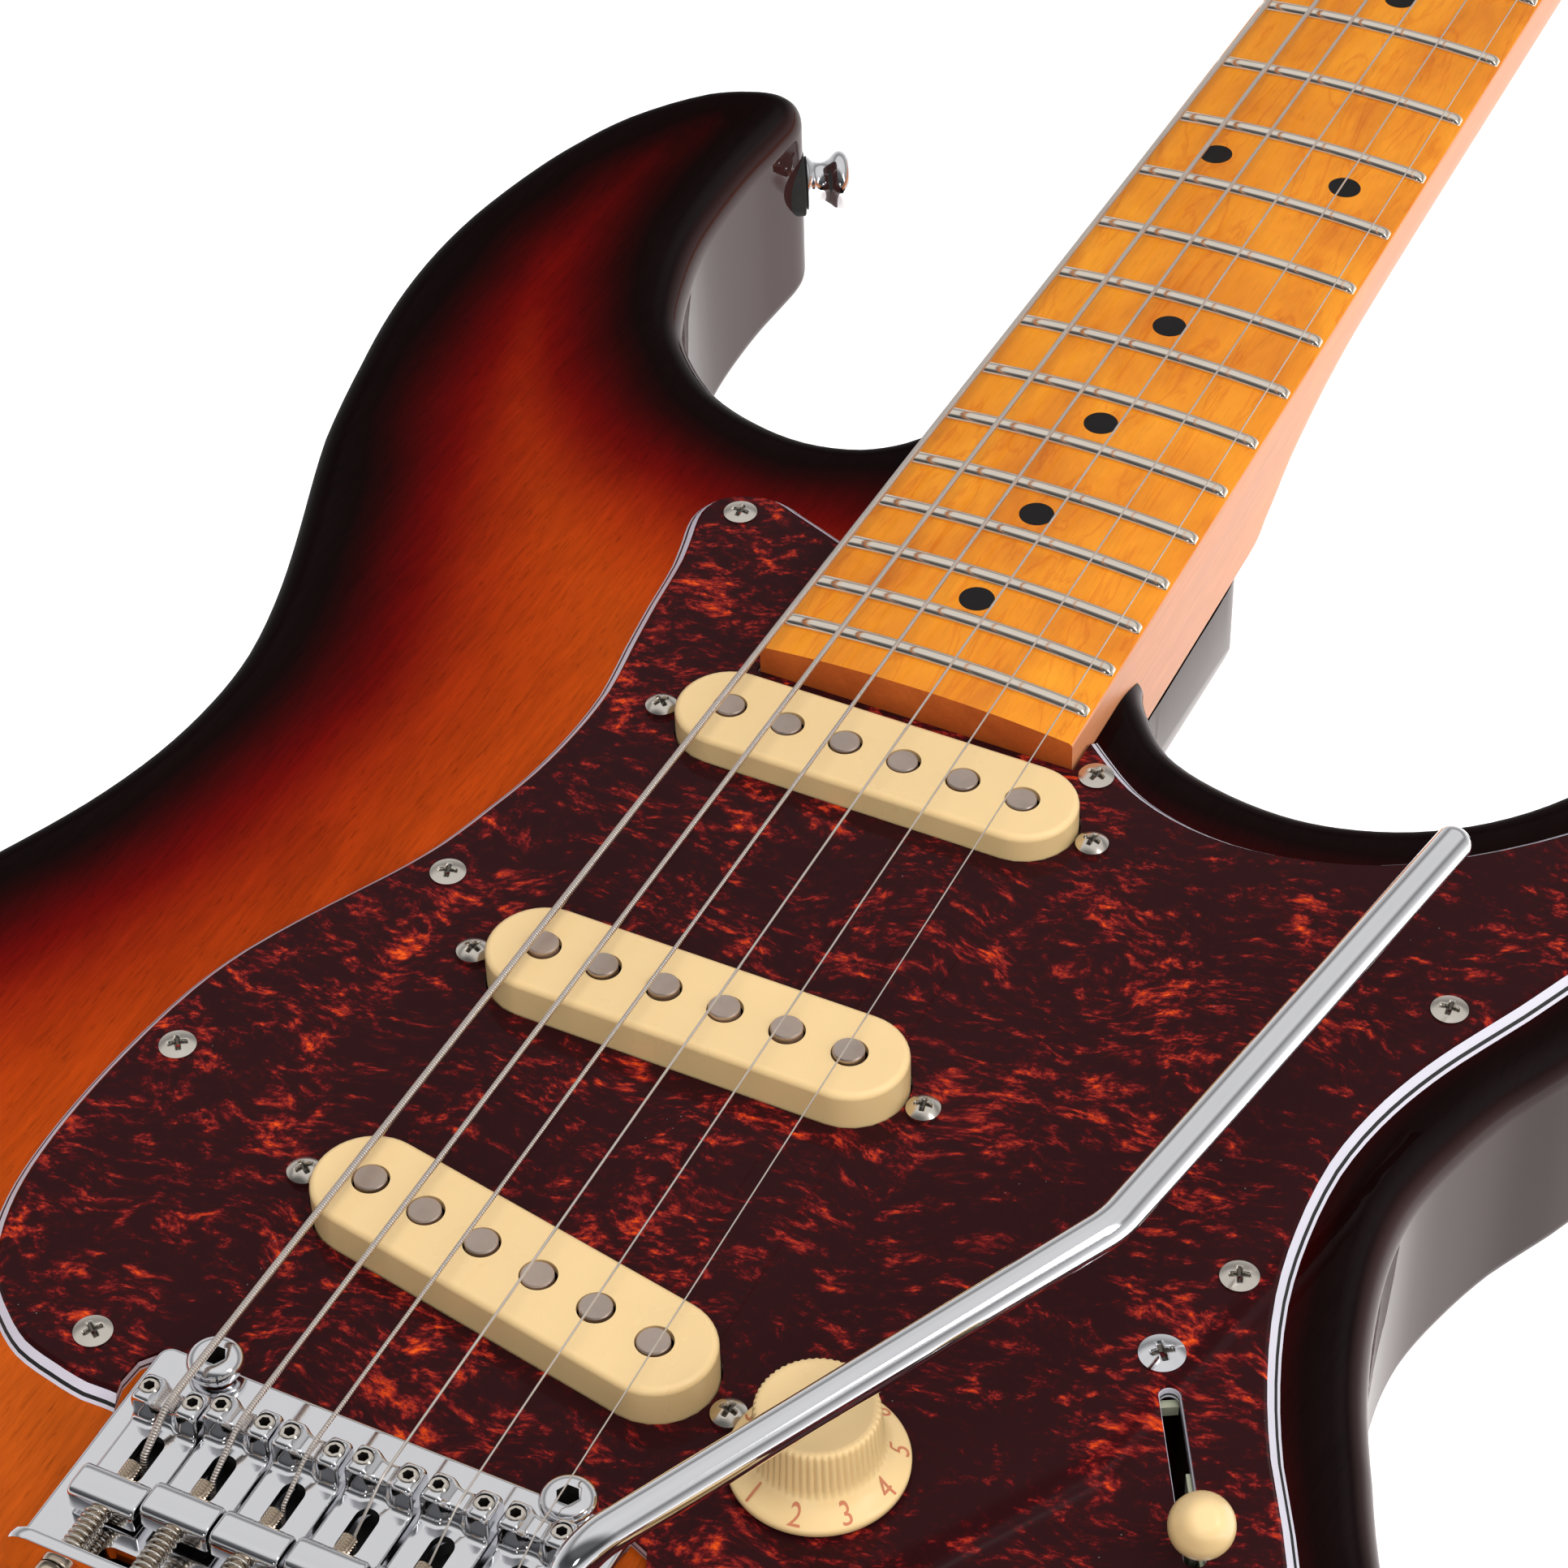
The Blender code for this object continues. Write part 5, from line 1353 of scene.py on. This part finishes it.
def make_posts():
    for name, side in (("bass", -1), ("treble", 1)):
        at = (side * TREM_POST[0], TREM_POST[1])
        sides = 48
        rings = [circle(r, z, sides, at) for r, z in (
            (3.4, 24), (3.4, 45), (2.6, 46), (2.6, 51.6), (3.6, 51.85), (4.0, 52.2), (4.15, 52.8),
            (4.1, 53.4), (3.85, 53.95), (3.4, 54.35), (2.8, 54.6), (2.2, 54.65))]
        rings += [hexagon(1.75, z, sides, at) for z in (54.45, 50.4)]
        hollowed(Shape().loft(rings), sides).piece(
            f"post_{name}", ("chrome", "socket"), "guitar", "chrome_hardware",
            f"trem_post_{name}", 40)


def filleted(corners, bends, steps):
    """A path through corners, each inner one rounded by its own bend radius."""
    line = [Vector(corners[0])]
    for k, radius in enumerate(bends):
        here = Vector(corners[k + 1])
        back = (Vector(corners[k]) - here).normalized()
        ahead = (Vector(corners[k + 2]) - here).normalized()
        half = back.angle(ahead) / 2
        middle = here + (back + ahead).normalized() * (radius / math.sin(half))
        start = (here + back * (radius / math.tan(half)) - middle).normalized()
        end = (here + ahead * (radius / math.tan(half)) - middle).normalized()
        for j in range(steps + 1):
            line.append(middle + start.slerp(end, j / steps) * radius)
    line.append(Vector(corners[-1]))
    return line


def make_arm():
    path = filleted(ARM_CORNERS, ARM_BENDS, 14)
    tips = [(2.4 * math.sin(a), math.cos(a)) for a in (math.pi / 2 * k / 8 for k in range(1, 8))]
    Shape().tube(path, ARM_R, 40, tips=tips).piece(
        "arm_rod", "chrome", "tremolo_arm", "chrome_hardware", "trem_arm", 60)


# ---------------------------------------------------------------- neck


def neck_ring(y, half, top, deep, power, count=36):
    """The neck's section: flat on top and a rounded back, squarer with a higher power."""
    ring = []
    for k in range(count + 1):
        a = math.pi * k / count
        c, s = math.cos(a), math.sin(a)
        x = half * math.copysign(abs(c) ** (2 / power), c)
        ring.append((x, y, top - deep * abs(s) ** (2 / power)))
    return ring


def make_neck():
    heel = BOARD_BASE_Z - POCKET_Z - 0.02
    stations = [(174.2, heel, 40.0), (256.0, heel, 40.0), (263.0, heel - 0.2, 14.0),
                (272.0, heel - 0.5, 6.0), (284.0, heel - 0.9, 3.6), (298.0, heel - 1.3, 2.6),
                (316.0, 15.4, 2.3), (400.0, 14.9, 2.2), (520.0, 14.2, 2.2), (640.0, 13.3, 2.2)]
    fine = curve_through(stations, 5, False)
    rings = [neck_ring(y, half_width(y), BOARD_BASE_Z + 0.01, deep, max(power, 2.2))
             for y, deep, power in fine]
    for y, top, deep in ((647.6, 45.41, 13.4), (652.5, 45.2, 13.6), (654.5, 45.0, 13.6),
                         (660.0, 43.6, 13.6), (668.0, 42.3, 13.2)):
        rings.append(neck_ring(y, 20.9, top, deep, 2.6))
    neck = loose(Shape().loft(rings), "neck_wood")
    run = curve_through(HEAD_OUTLINE, 4, False)
    head = Shape().loft(softened(run, HEAD_FACE_Z - HEAD_T, HEAD_FACE_Z, 1.6, 1.6, 4))
    cut(neck, [head], "UNION")
    holes = [rod((*post_centre(i), 20), (*post_centre(i), 60), 4.6) for i in range(STRINGS)]
    holes.append(rod((0, 651.0, 44.5), (0, 672.0, 44.0), 2.2))
    cut(neck, holes)
    settle(neck, "neck", "guitar", "neck", 40)
    Shape().turned([(1.9, 0), (1.9, 5), (1.4, 5.2)], (0, 657.0, 44.4), (0, 1, -0.02), 6).piece(
        "truss_rod_nut", "steel", "guitar", "chrome_hardware")
    wear("nut", "bone")


def make_board_wood():
    rings = []
    for y in (BOARD_Y[0], 300.0, 420.0, 540.0, BOARD_Y[1]):
        half = half_width(y)
        ring = [(-half, y, BOARD_BASE_Z), (-half, y, BOARD_TOP_Z - sag(half) - 0.7),
                (-half + 0.2, y, BOARD_TOP_Z - sag(half) - 0.2)]
        for k in range(21):
            x = (half - 0.6) * (k / 10 - 1)
            ring.append((x, y, BOARD_TOP_Z - sag(x)))
        ring += [(half - 0.2, y, BOARD_TOP_Z - sag(half) - 0.2),
                 (half, y, BOARD_TOP_Z - sag(half) - 0.7), (half, y, BOARD_BASE_Z)]
        rings.append(ring)
    shape = Shape().loft(rings, caps=False)
    count = len(rings[0])
    shape.looks = [0 if 1 <= f % count < count - 3 else 1 for f in range(len(shape.faces))]
    last = len(shape.points) - count
    shape.faces += [tuple(reversed(range(count))), tuple(range(last, last + count))]
    shape.looks += [2, 2]
    shape.piece("board_wood", ("board", "neck", "end"), "guitar", "maple_fretboard",
                "fretboard", 40)
    make_frets()
    make_dots()


def make_frets():
    """Crowned wires whose ends are rounded over the last millimetres."""
    crown = [(-1.45, -0.15), (-1.45, 0.2), (-1.3, 0.62), (-0.98, 0.98), (-0.52, 1.2), (0, 1.28)]
    crown += [(-y, z) for y, z in reversed(crown[:-1])]
    steps = (0, 0.12, 0.35, 0.7, 1.15, 1.7)
    for n in range(1, FRETS + 1):
        y = SCALE * 2 ** (-n / 12)
        half = half_width(y) - 0.55
        rings = []
        xs = [-half + t for t in steps] + [half * (k / 10 - 1) for k in range(2, 19)]
        for x in xs + [half - t for t in reversed(steps)]:
            near = min((half - abs(x)) / steps[-1], 1.0)
            share = math.sqrt(max(1 - (1 - near) ** 2, 0.0))
            base = BOARD_TOP_Z - sag(x)
            rings.append([(x, y + a * (0.55 + 0.45 * share), base + (b if b < 0 else b * share))
                          for a, b in crown])
        Shape().loft(rings).piece(f"fret_{n:02d}", "fret", "guitar", "maple_fretboard", (), 50)


def make_dots():
    for n in DOT_FRETS:
        y = SCALE * (2 ** (-n / 12) + 2 ** (-(n - 1) / 12)) / 2
        for k, x in enumerate((-12.8, 12.8) if n == 12 else (0.0,)):
            dot = Shape().turned([(3.0, -1.0), (3.0, 0.02), (2.9, 0.06)],
                                 (x, y, BOARD_TOP_Z - sag(x)),
                                 (x / BOARD_RADIUS, 0, 1), 40)
            dot.piece(f"dot_{n:02d}{'ab'[k]}", "black", "guitar", "black_plastic")
        half = half_width(y)
        Shape().turned([(1.0, 0), (1.0, 0.35), (0.9, 0.4)],
                       (-half + 0.35, y, BOARD_TOP_Z - 3.6), (-1, 0, 0), 20).piece(
            f"side_dot_{n:02d}", "black", "guitar", "black_plastic")


def make_tuners():
    ends = post_centre(0), post_centre(STRINGS - 1)
    line = Vector((ends[1][0] - ends[0][0], ends[1][1] - ends[0][1], 0)).normalized()
    out = Vector((-line.y, line.x, 0))
    low = HEAD_FACE_Z - HEAD_T
    for i in range(STRINGS):
        x, y = post_centre(i)
        at = Vector((x, y, 0))
        square = rounded((-7, -7), (7, 10.5), 2.0)
        ring = [(at + line * a + out * b) for a, b in square]
        case = Shape().loft(softened([(p.x, p.y) for p in ring], 18.6, low - 0.02, 0.3, 1.4, 5))
        housing = loose(case, f"tuner_case_{i + 1}")
        bush = Shape().turned([(4.4, 26), (4.4, 44.0), (4.1, 44.4)], (x, y, 0))
        wash = Shape().turned([(6.7, HEAD_FACE_Z + 0.02), (6.8, 43.2), (6.3, 43.8), (4.4, 44.0)],
                              (x, y, 0), sides=6 * 6)
        cut(housing, [bush, wash], "UNION")
        inner = at + out * 6 + Vector((0, 0, 23.4))
        cut(housing, [rod((x, y, 20), (x, y, 60), POST_R + 0.35),
                      rod(inner, inner + out * 10, 1.9)])
        settle(housing, "chrome", "guitar", f"tuner_housing_{i + 1}", 40)
        top = wrap_z(i)
        post = [(POST_R, 20.6), (POST_R, top - 3.6), (POST_R - 0.1, top - 3.0),
                (POST_R - 0.3, top - 2.4), (POST_R - 0.32, top + 1.4), (POST_R - 0.1, top + 2.1),
                (POST_R, top + 2.6), (POST_R, top + 5.1), (POST_R - 0.25, top + 5.6),
                (POST_R - 0.8, top + 5.9), (1.1, top + 5.9), (1.0, top + 4.4)]
        shaft = loose(Shape().turned(post, (x, y, 0), sides=36), f"tuner_shaft_{i + 1}")
        cut(shaft, [block((x - 0.55, y - 4, top + 3.4), (x + 0.55, y + 4, top + 8))])
        settle(shaft, "chrome", f"tuner_shaft_{i + 1}",
               f"tuner_post_{i + 1}", 40)
        stem = [(1.55, 1.2), (1.55, 7.8), (2.3, 8.3), (2.3, 9.2), (1.6, 9.8), (1.6, 12)]
        key = Shape().turned(stem, inner, out, 28)
        _, across, up = frame_on(out)
        rings = []
        for far, half, thick in (
                (9.6, 2.2, 1.6), (10.2, 3.8, 2.1), (11.2, 6.0, 2.7), (12.6, 7.6, 3.1),
                (14.6, 8.5, 3.3), (17.2, 8.8, 3.3), (19.4, 8.5, 3.15), (21.2, 7.5, 2.8),
                (22.4, 6.0, 2.3), (23.1, 4.0, 1.5), (23.3, 1.6, 0.7)):
            ring = []
            for k in range(36):
                a = 2 * math.pi * k / 36
                c, s = math.cos(a), math.sin(a)
                ring.append(inner + out * far + across * (half * math.copysign(abs(c) ** 0.75, c))
                            + up * (thick * math.copysign(abs(s) ** 0.75, s)))
            rings.append(ring)
        key.loft(rings)
        key.piece(f"tuner_key_{i + 1}", "chrome", f"tuner_key_{i + 1}", "chrome_hardware",
                  f"tuner_button_{i + 1}", 60)
        head = at + line * 5.0 + out * 8.6
        cross = screw_head("tuner_screw", "nickel", 1.5, 0.45, 0.2, 0.8, 0.22, 0.6, 12, 32)
        fasten(f"tuner_screw_{i + 1}", cross, (head.x, head.y, 18.65), (0, 0, -1))


def make_trees():
    for k, (pair, y) in enumerate((((4, 5), 706.0), ((2, 3), 742.0))):
        xs = []
        for i in pair:
            nx, ny, _ = string_nut(i)
            cx, cy = post_centre(i)
            far = (y - ny) / (cy - ny)
            xs.append(nx + (cx + POST_R + STRING_RADII[i] + 0.3 - nx) * far)
        x = sum(xs) / 2
        half = abs(xs[1] - xs[0]) / 2 + 1.2
        z = 50.6 - 0.9 * k
        bar = [(half + 1.0, -0.1), (half + 0.9, 1.3), (half * 0.5, 1.9), (0, 2.3),
               (-half * 0.5, 1.9), (-half - 0.9, 1.3), (-half - 1.0, -0.1), (-half * 0.5, 0.9),
               (0, 1.0), (half * 0.5, 0.9)]
        widths = ((y - 2.0, 0.25), (y - 1.7, 0), (y + 1.7, 0), (y + 2.0, 0.25))
        tree = Shape().loft([[(x + a, spot, z + b) for a, b in inset(bar, d)]
                             for spot, d in widths])
        tree.turned([(1.6, HEAD_FACE_Z), (1.6, z + 1.1), (0.9, z + 1.1)], (x, y, 0), sides=24)
        knob = [(1.9, z + 2.1), (1.9, z + 2.5), (1.2, z + 3.0), (0.4, z + 3.1)]
        tree.turned(knob, (x, y, 0), sides=24)
        tree.piece(f"string_tree_{k + 1}", "chrome", "guitar", "chrome_hardware", (), 45)


# ---------------------------------------------------------------- strings


def make_strings():
    """Each wire from the block, over its saddle and the nut, to two and a half turns."""
    for i in range(STRINGS):
        r = STRING_RADII[i]
        bx, by, bz = string_break(i)
        nx, ny, nz = string_nut(i)
        cx, cy = post_centre(i)
        reach = POST_R + r + 0.05
        top = wrap_z(i)
        path = [(bx, STRING_HOLE_Y, 13.0), (bx, STRING_HOLE_Y, 49.6),
                (bx, STRING_HOLE_Y + 0.25, bz - 5.4), (bx, STRING_HOLE_Y + 0.8, bz - 3.6)]
        path += [(bx, by - 2.6, bz - 0.62), (bx, by - 1.5, bz - 0.2), (bx, by - 0.6, bz - 0.02),
                 (bx, by + 0.2, bz)]
        start = Vector((string_x(i, by + 2), by + 2, bz - 0.02))
        end = Vector((nx, ny - 0.6, nz))
        near = [0.0, 0.006, 0.012, 0.02, 0.03, 0.045, 0.06]
        path += [start.lerp(end, f) for f in near + [k / 12 for k in range(1, 13)]]
        path.append((nx, ny + 0.8, nz))
        steps = 60
        drop = 2 * r + 0.12
        for k in range(steps + 1):
            a = 2 * math.pi * 2.5 * k / steps
            path.append((cx + reach * math.cos(a), cy + reach * math.sin(a),
                         top + 0.6 - drop * a / (2 * math.pi)))
        sides = 12
        shape = Shape().tube(path, r, sides)
        wound = i < 3
        made = shape.piece(f"string_wire_{i + 1}", "string_wound" if wound else "string_plain",
                           None, "string_nickel", f"string_{i + 1}", 60)
        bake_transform(made)
        spots = [Vector(p) for p in path]
        along = [0.0]
        for k in range(1, len(spots)):
            along.append(along[-1] + (spots[k] - spots[k - 1]).length)
        values = np.repeat(np.array(along, np.float32), sides)
        mark = made.data.attributes.new("along_mm", "FLOAT", "POINT")
        mark.data.foreach_set("value", values)


# ---------------------------------------------------------------- back, jack, straps


def make_back():
    outline = rounded((-50, -48), (50, 118), 8, 10)
    cover = loose(Shape().loft(softened(outline, 0.0, 1.7, 0.1, 0.7, 4)), "cover_plate")
    holes = [Shape().turned([(3.6, -3), (3.6, 5)], (string_x(i, 0), STRING_HOLE_Y, 0))
             for i in range(STRINGS)]
    cut(cover, holes)
    settle(cover, "black", "guitar", "back_cover", 40)
    head = screw_head("cover_screw", "nickel", 2.6, 0.5, 0.3, 1.3, 0.32, 0.9)
    spots = [(-45, -42), (45, -42), (-45, 35), (45, 35), (-45, 112), (45, 112)]
    for k, (x, y) in enumerate(spots):
        fasten(f"cover_screw_{k + 1}", head, (x, y, 0.0), (0, 0, -1), k)
    corners = [(-25, 182), (25, 182), (25, 198), (16, 212), (16, 245), (-25, 245)]
    soft = []
    for k, here in enumerate(corners):
        back = Vector(corners[k - 1]) - Vector(here)
        ahead = Vector(corners[(k + 1) % len(corners)]) - Vector(here)
        for t in range(6):
            share = t / 5
            a = Vector(here) + back.normalized() * 4.0
            b = Vector(here) + ahead.normalized() * 4.0
            spot = a * (1 - share) ** 2 + Vector(here) * 2 * share * (1 - share) + b * share**2
            soft.append((spot.x, spot.y))
    plate = Shape().loft(softened(soft, -2.1, -0.02, 0.1, 0.6, 4))
    plate.piece("joint_plate", "chrome", "guitar", "chrome_hardware", "neck_plate", 40)
    head = screw_head("joint_screw", "chrome", 4.3, 0.7, 0.3, 1.9, 0.5, 1.5)
    for k, (x, y) in enumerate(NECK_BOLTS):
        fasten(f"joint_screw_{k + 1}", head, (x, y, -2.1), (0, 0, -1), k * 0.8)
    for k, x in enumerate((-21.0, 0.0, 21.0)):
        z, wire = SPRING_Z, 0.55
        spring = coil((x, 3.5, z), (x, 86.0, z), 3.0, wire, 46, 14, 6)
        spring.tube([(x, -5.2, z), (x, 1.0, z), (x, 3.5, z), (x + 3.0, 3.6, z)], wire, 8)
        spring.tube([(x, 86.0, z), (x, 88.0, z), (x, 91.0, z)], wire, 8)
        made = spring.piece(f"spring_coil_{k + 1}", "steel", None, "plain_steel",
                            f"trem_spring_{k + 1}", 60)
        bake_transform(made)
    wear("trem_claw", "steel")
    wear("control_assembly", "steel")


def make_jack():
    """The dish as rings of (length, width, height), round and back through its socket."""
    rows = ((62, 29, 44.02), (62, 29, 45.3), (61.7, 28.7, 45.6), (61.0, 28.0, 45.8),
            (50.4, 19.4, 45.8), (49.2, 18.2, 45.55), (48.0, 17.0, 44.6), (45.5, 15.4, 41.5),
            (42.5, 14.0, 37.5), (39.6, 12.9, 34.2), (37.6, 12.0, 33.0), (35.0, 11.0, 32.6),
            (12.0, 9.4, 32.6), (11.0, 9.2, 33.2), (7.6, 7.6, 33.3), (6.5, 6.5, 33.1),
            (6.5, 6.5, 19.2), (10, 10, 19.2), (10, 10, 31.0), (36, 13.5, 31.0),
            (40.4, 15.0, 32.0), (49, 19.8, 43.9))
    rings = [flat(stadium(JACK_AT, JACK_ALONG, long, wide), z) for long, wide, z in rows]
    Shape().loft(rings, loop=True).piece("jack_dish", "chrome", "guitar", "chrome_hardware",
                                         "jack_plate", 40)
    head = screw_head("jack_screw", "nickel", 2.5, 0.5, 0.2, 1.25, 0.3, 0.8)
    along = Vector((*JACK_ALONG, 0)).normalized()
    for k, side in enumerate((-1, 1)):
        spot = Vector((*JACK_AT, 45.8)) + along * (27.8 * side)
        fasten(f"jack_screw_{k + 1}", head, spot, spin=k)


def make_straps():
    profile = [(1.6, -14.0), (1.6, 0.3), (5.2, 0.5), (5.4, 0.8), (5.2, 1.3), (4.4, 2.0),
               (4.0, 2.8), (3.9, 3.6), (4.1, 4.4), (4.7, 5.2), (5.4, 5.9), (5.85, 6.6),
               (6.0, 7.3), (5.85, 8.0), (5.4, 8.7), (4.6, 9.2), (3.4, 9.4), (2.9, 9.1)]
    for name, (at, axis) in STRAPS.items():
        button = Shape().turned(profile, at, axis, 48)
        button.piece(f"strap_stud_{name}", "chrome", "guitar", "chrome_hardware",
                     f"strap_button_{name}", 45)
        along = Vector(axis).normalized()
        Shape().turned([(5.6, -4.0), (6.5, -2.6), (6.5, 0.1), (6.2, 0.3), (2.0, 0.32)],
                       at, axis, 40).piece(
            f"strap_felt_{name}", "felt", "guitar", "black_plastic")
        head = screw_head(f"strap_screw_{name}", "chrome", 2.8, 0.5, 0.2, 1.3, 0.34, 0.9)
        fasten(f"strap_screw_{name}", head, Vector(at) + along * 8.95, axis)


make_camera()
make_stage()
make_light()
make_looks()
make_body()
make_pickguard()
make_pickups()
make_knobs()
make_switch_frame()
make_lever()
make_bridge()
make_saddles()
make_posts()
make_arm()
make_neck()
make_board_wood()
make_tuners()
make_trees()
make_strings()
make_back()
make_jack()
make_straps()
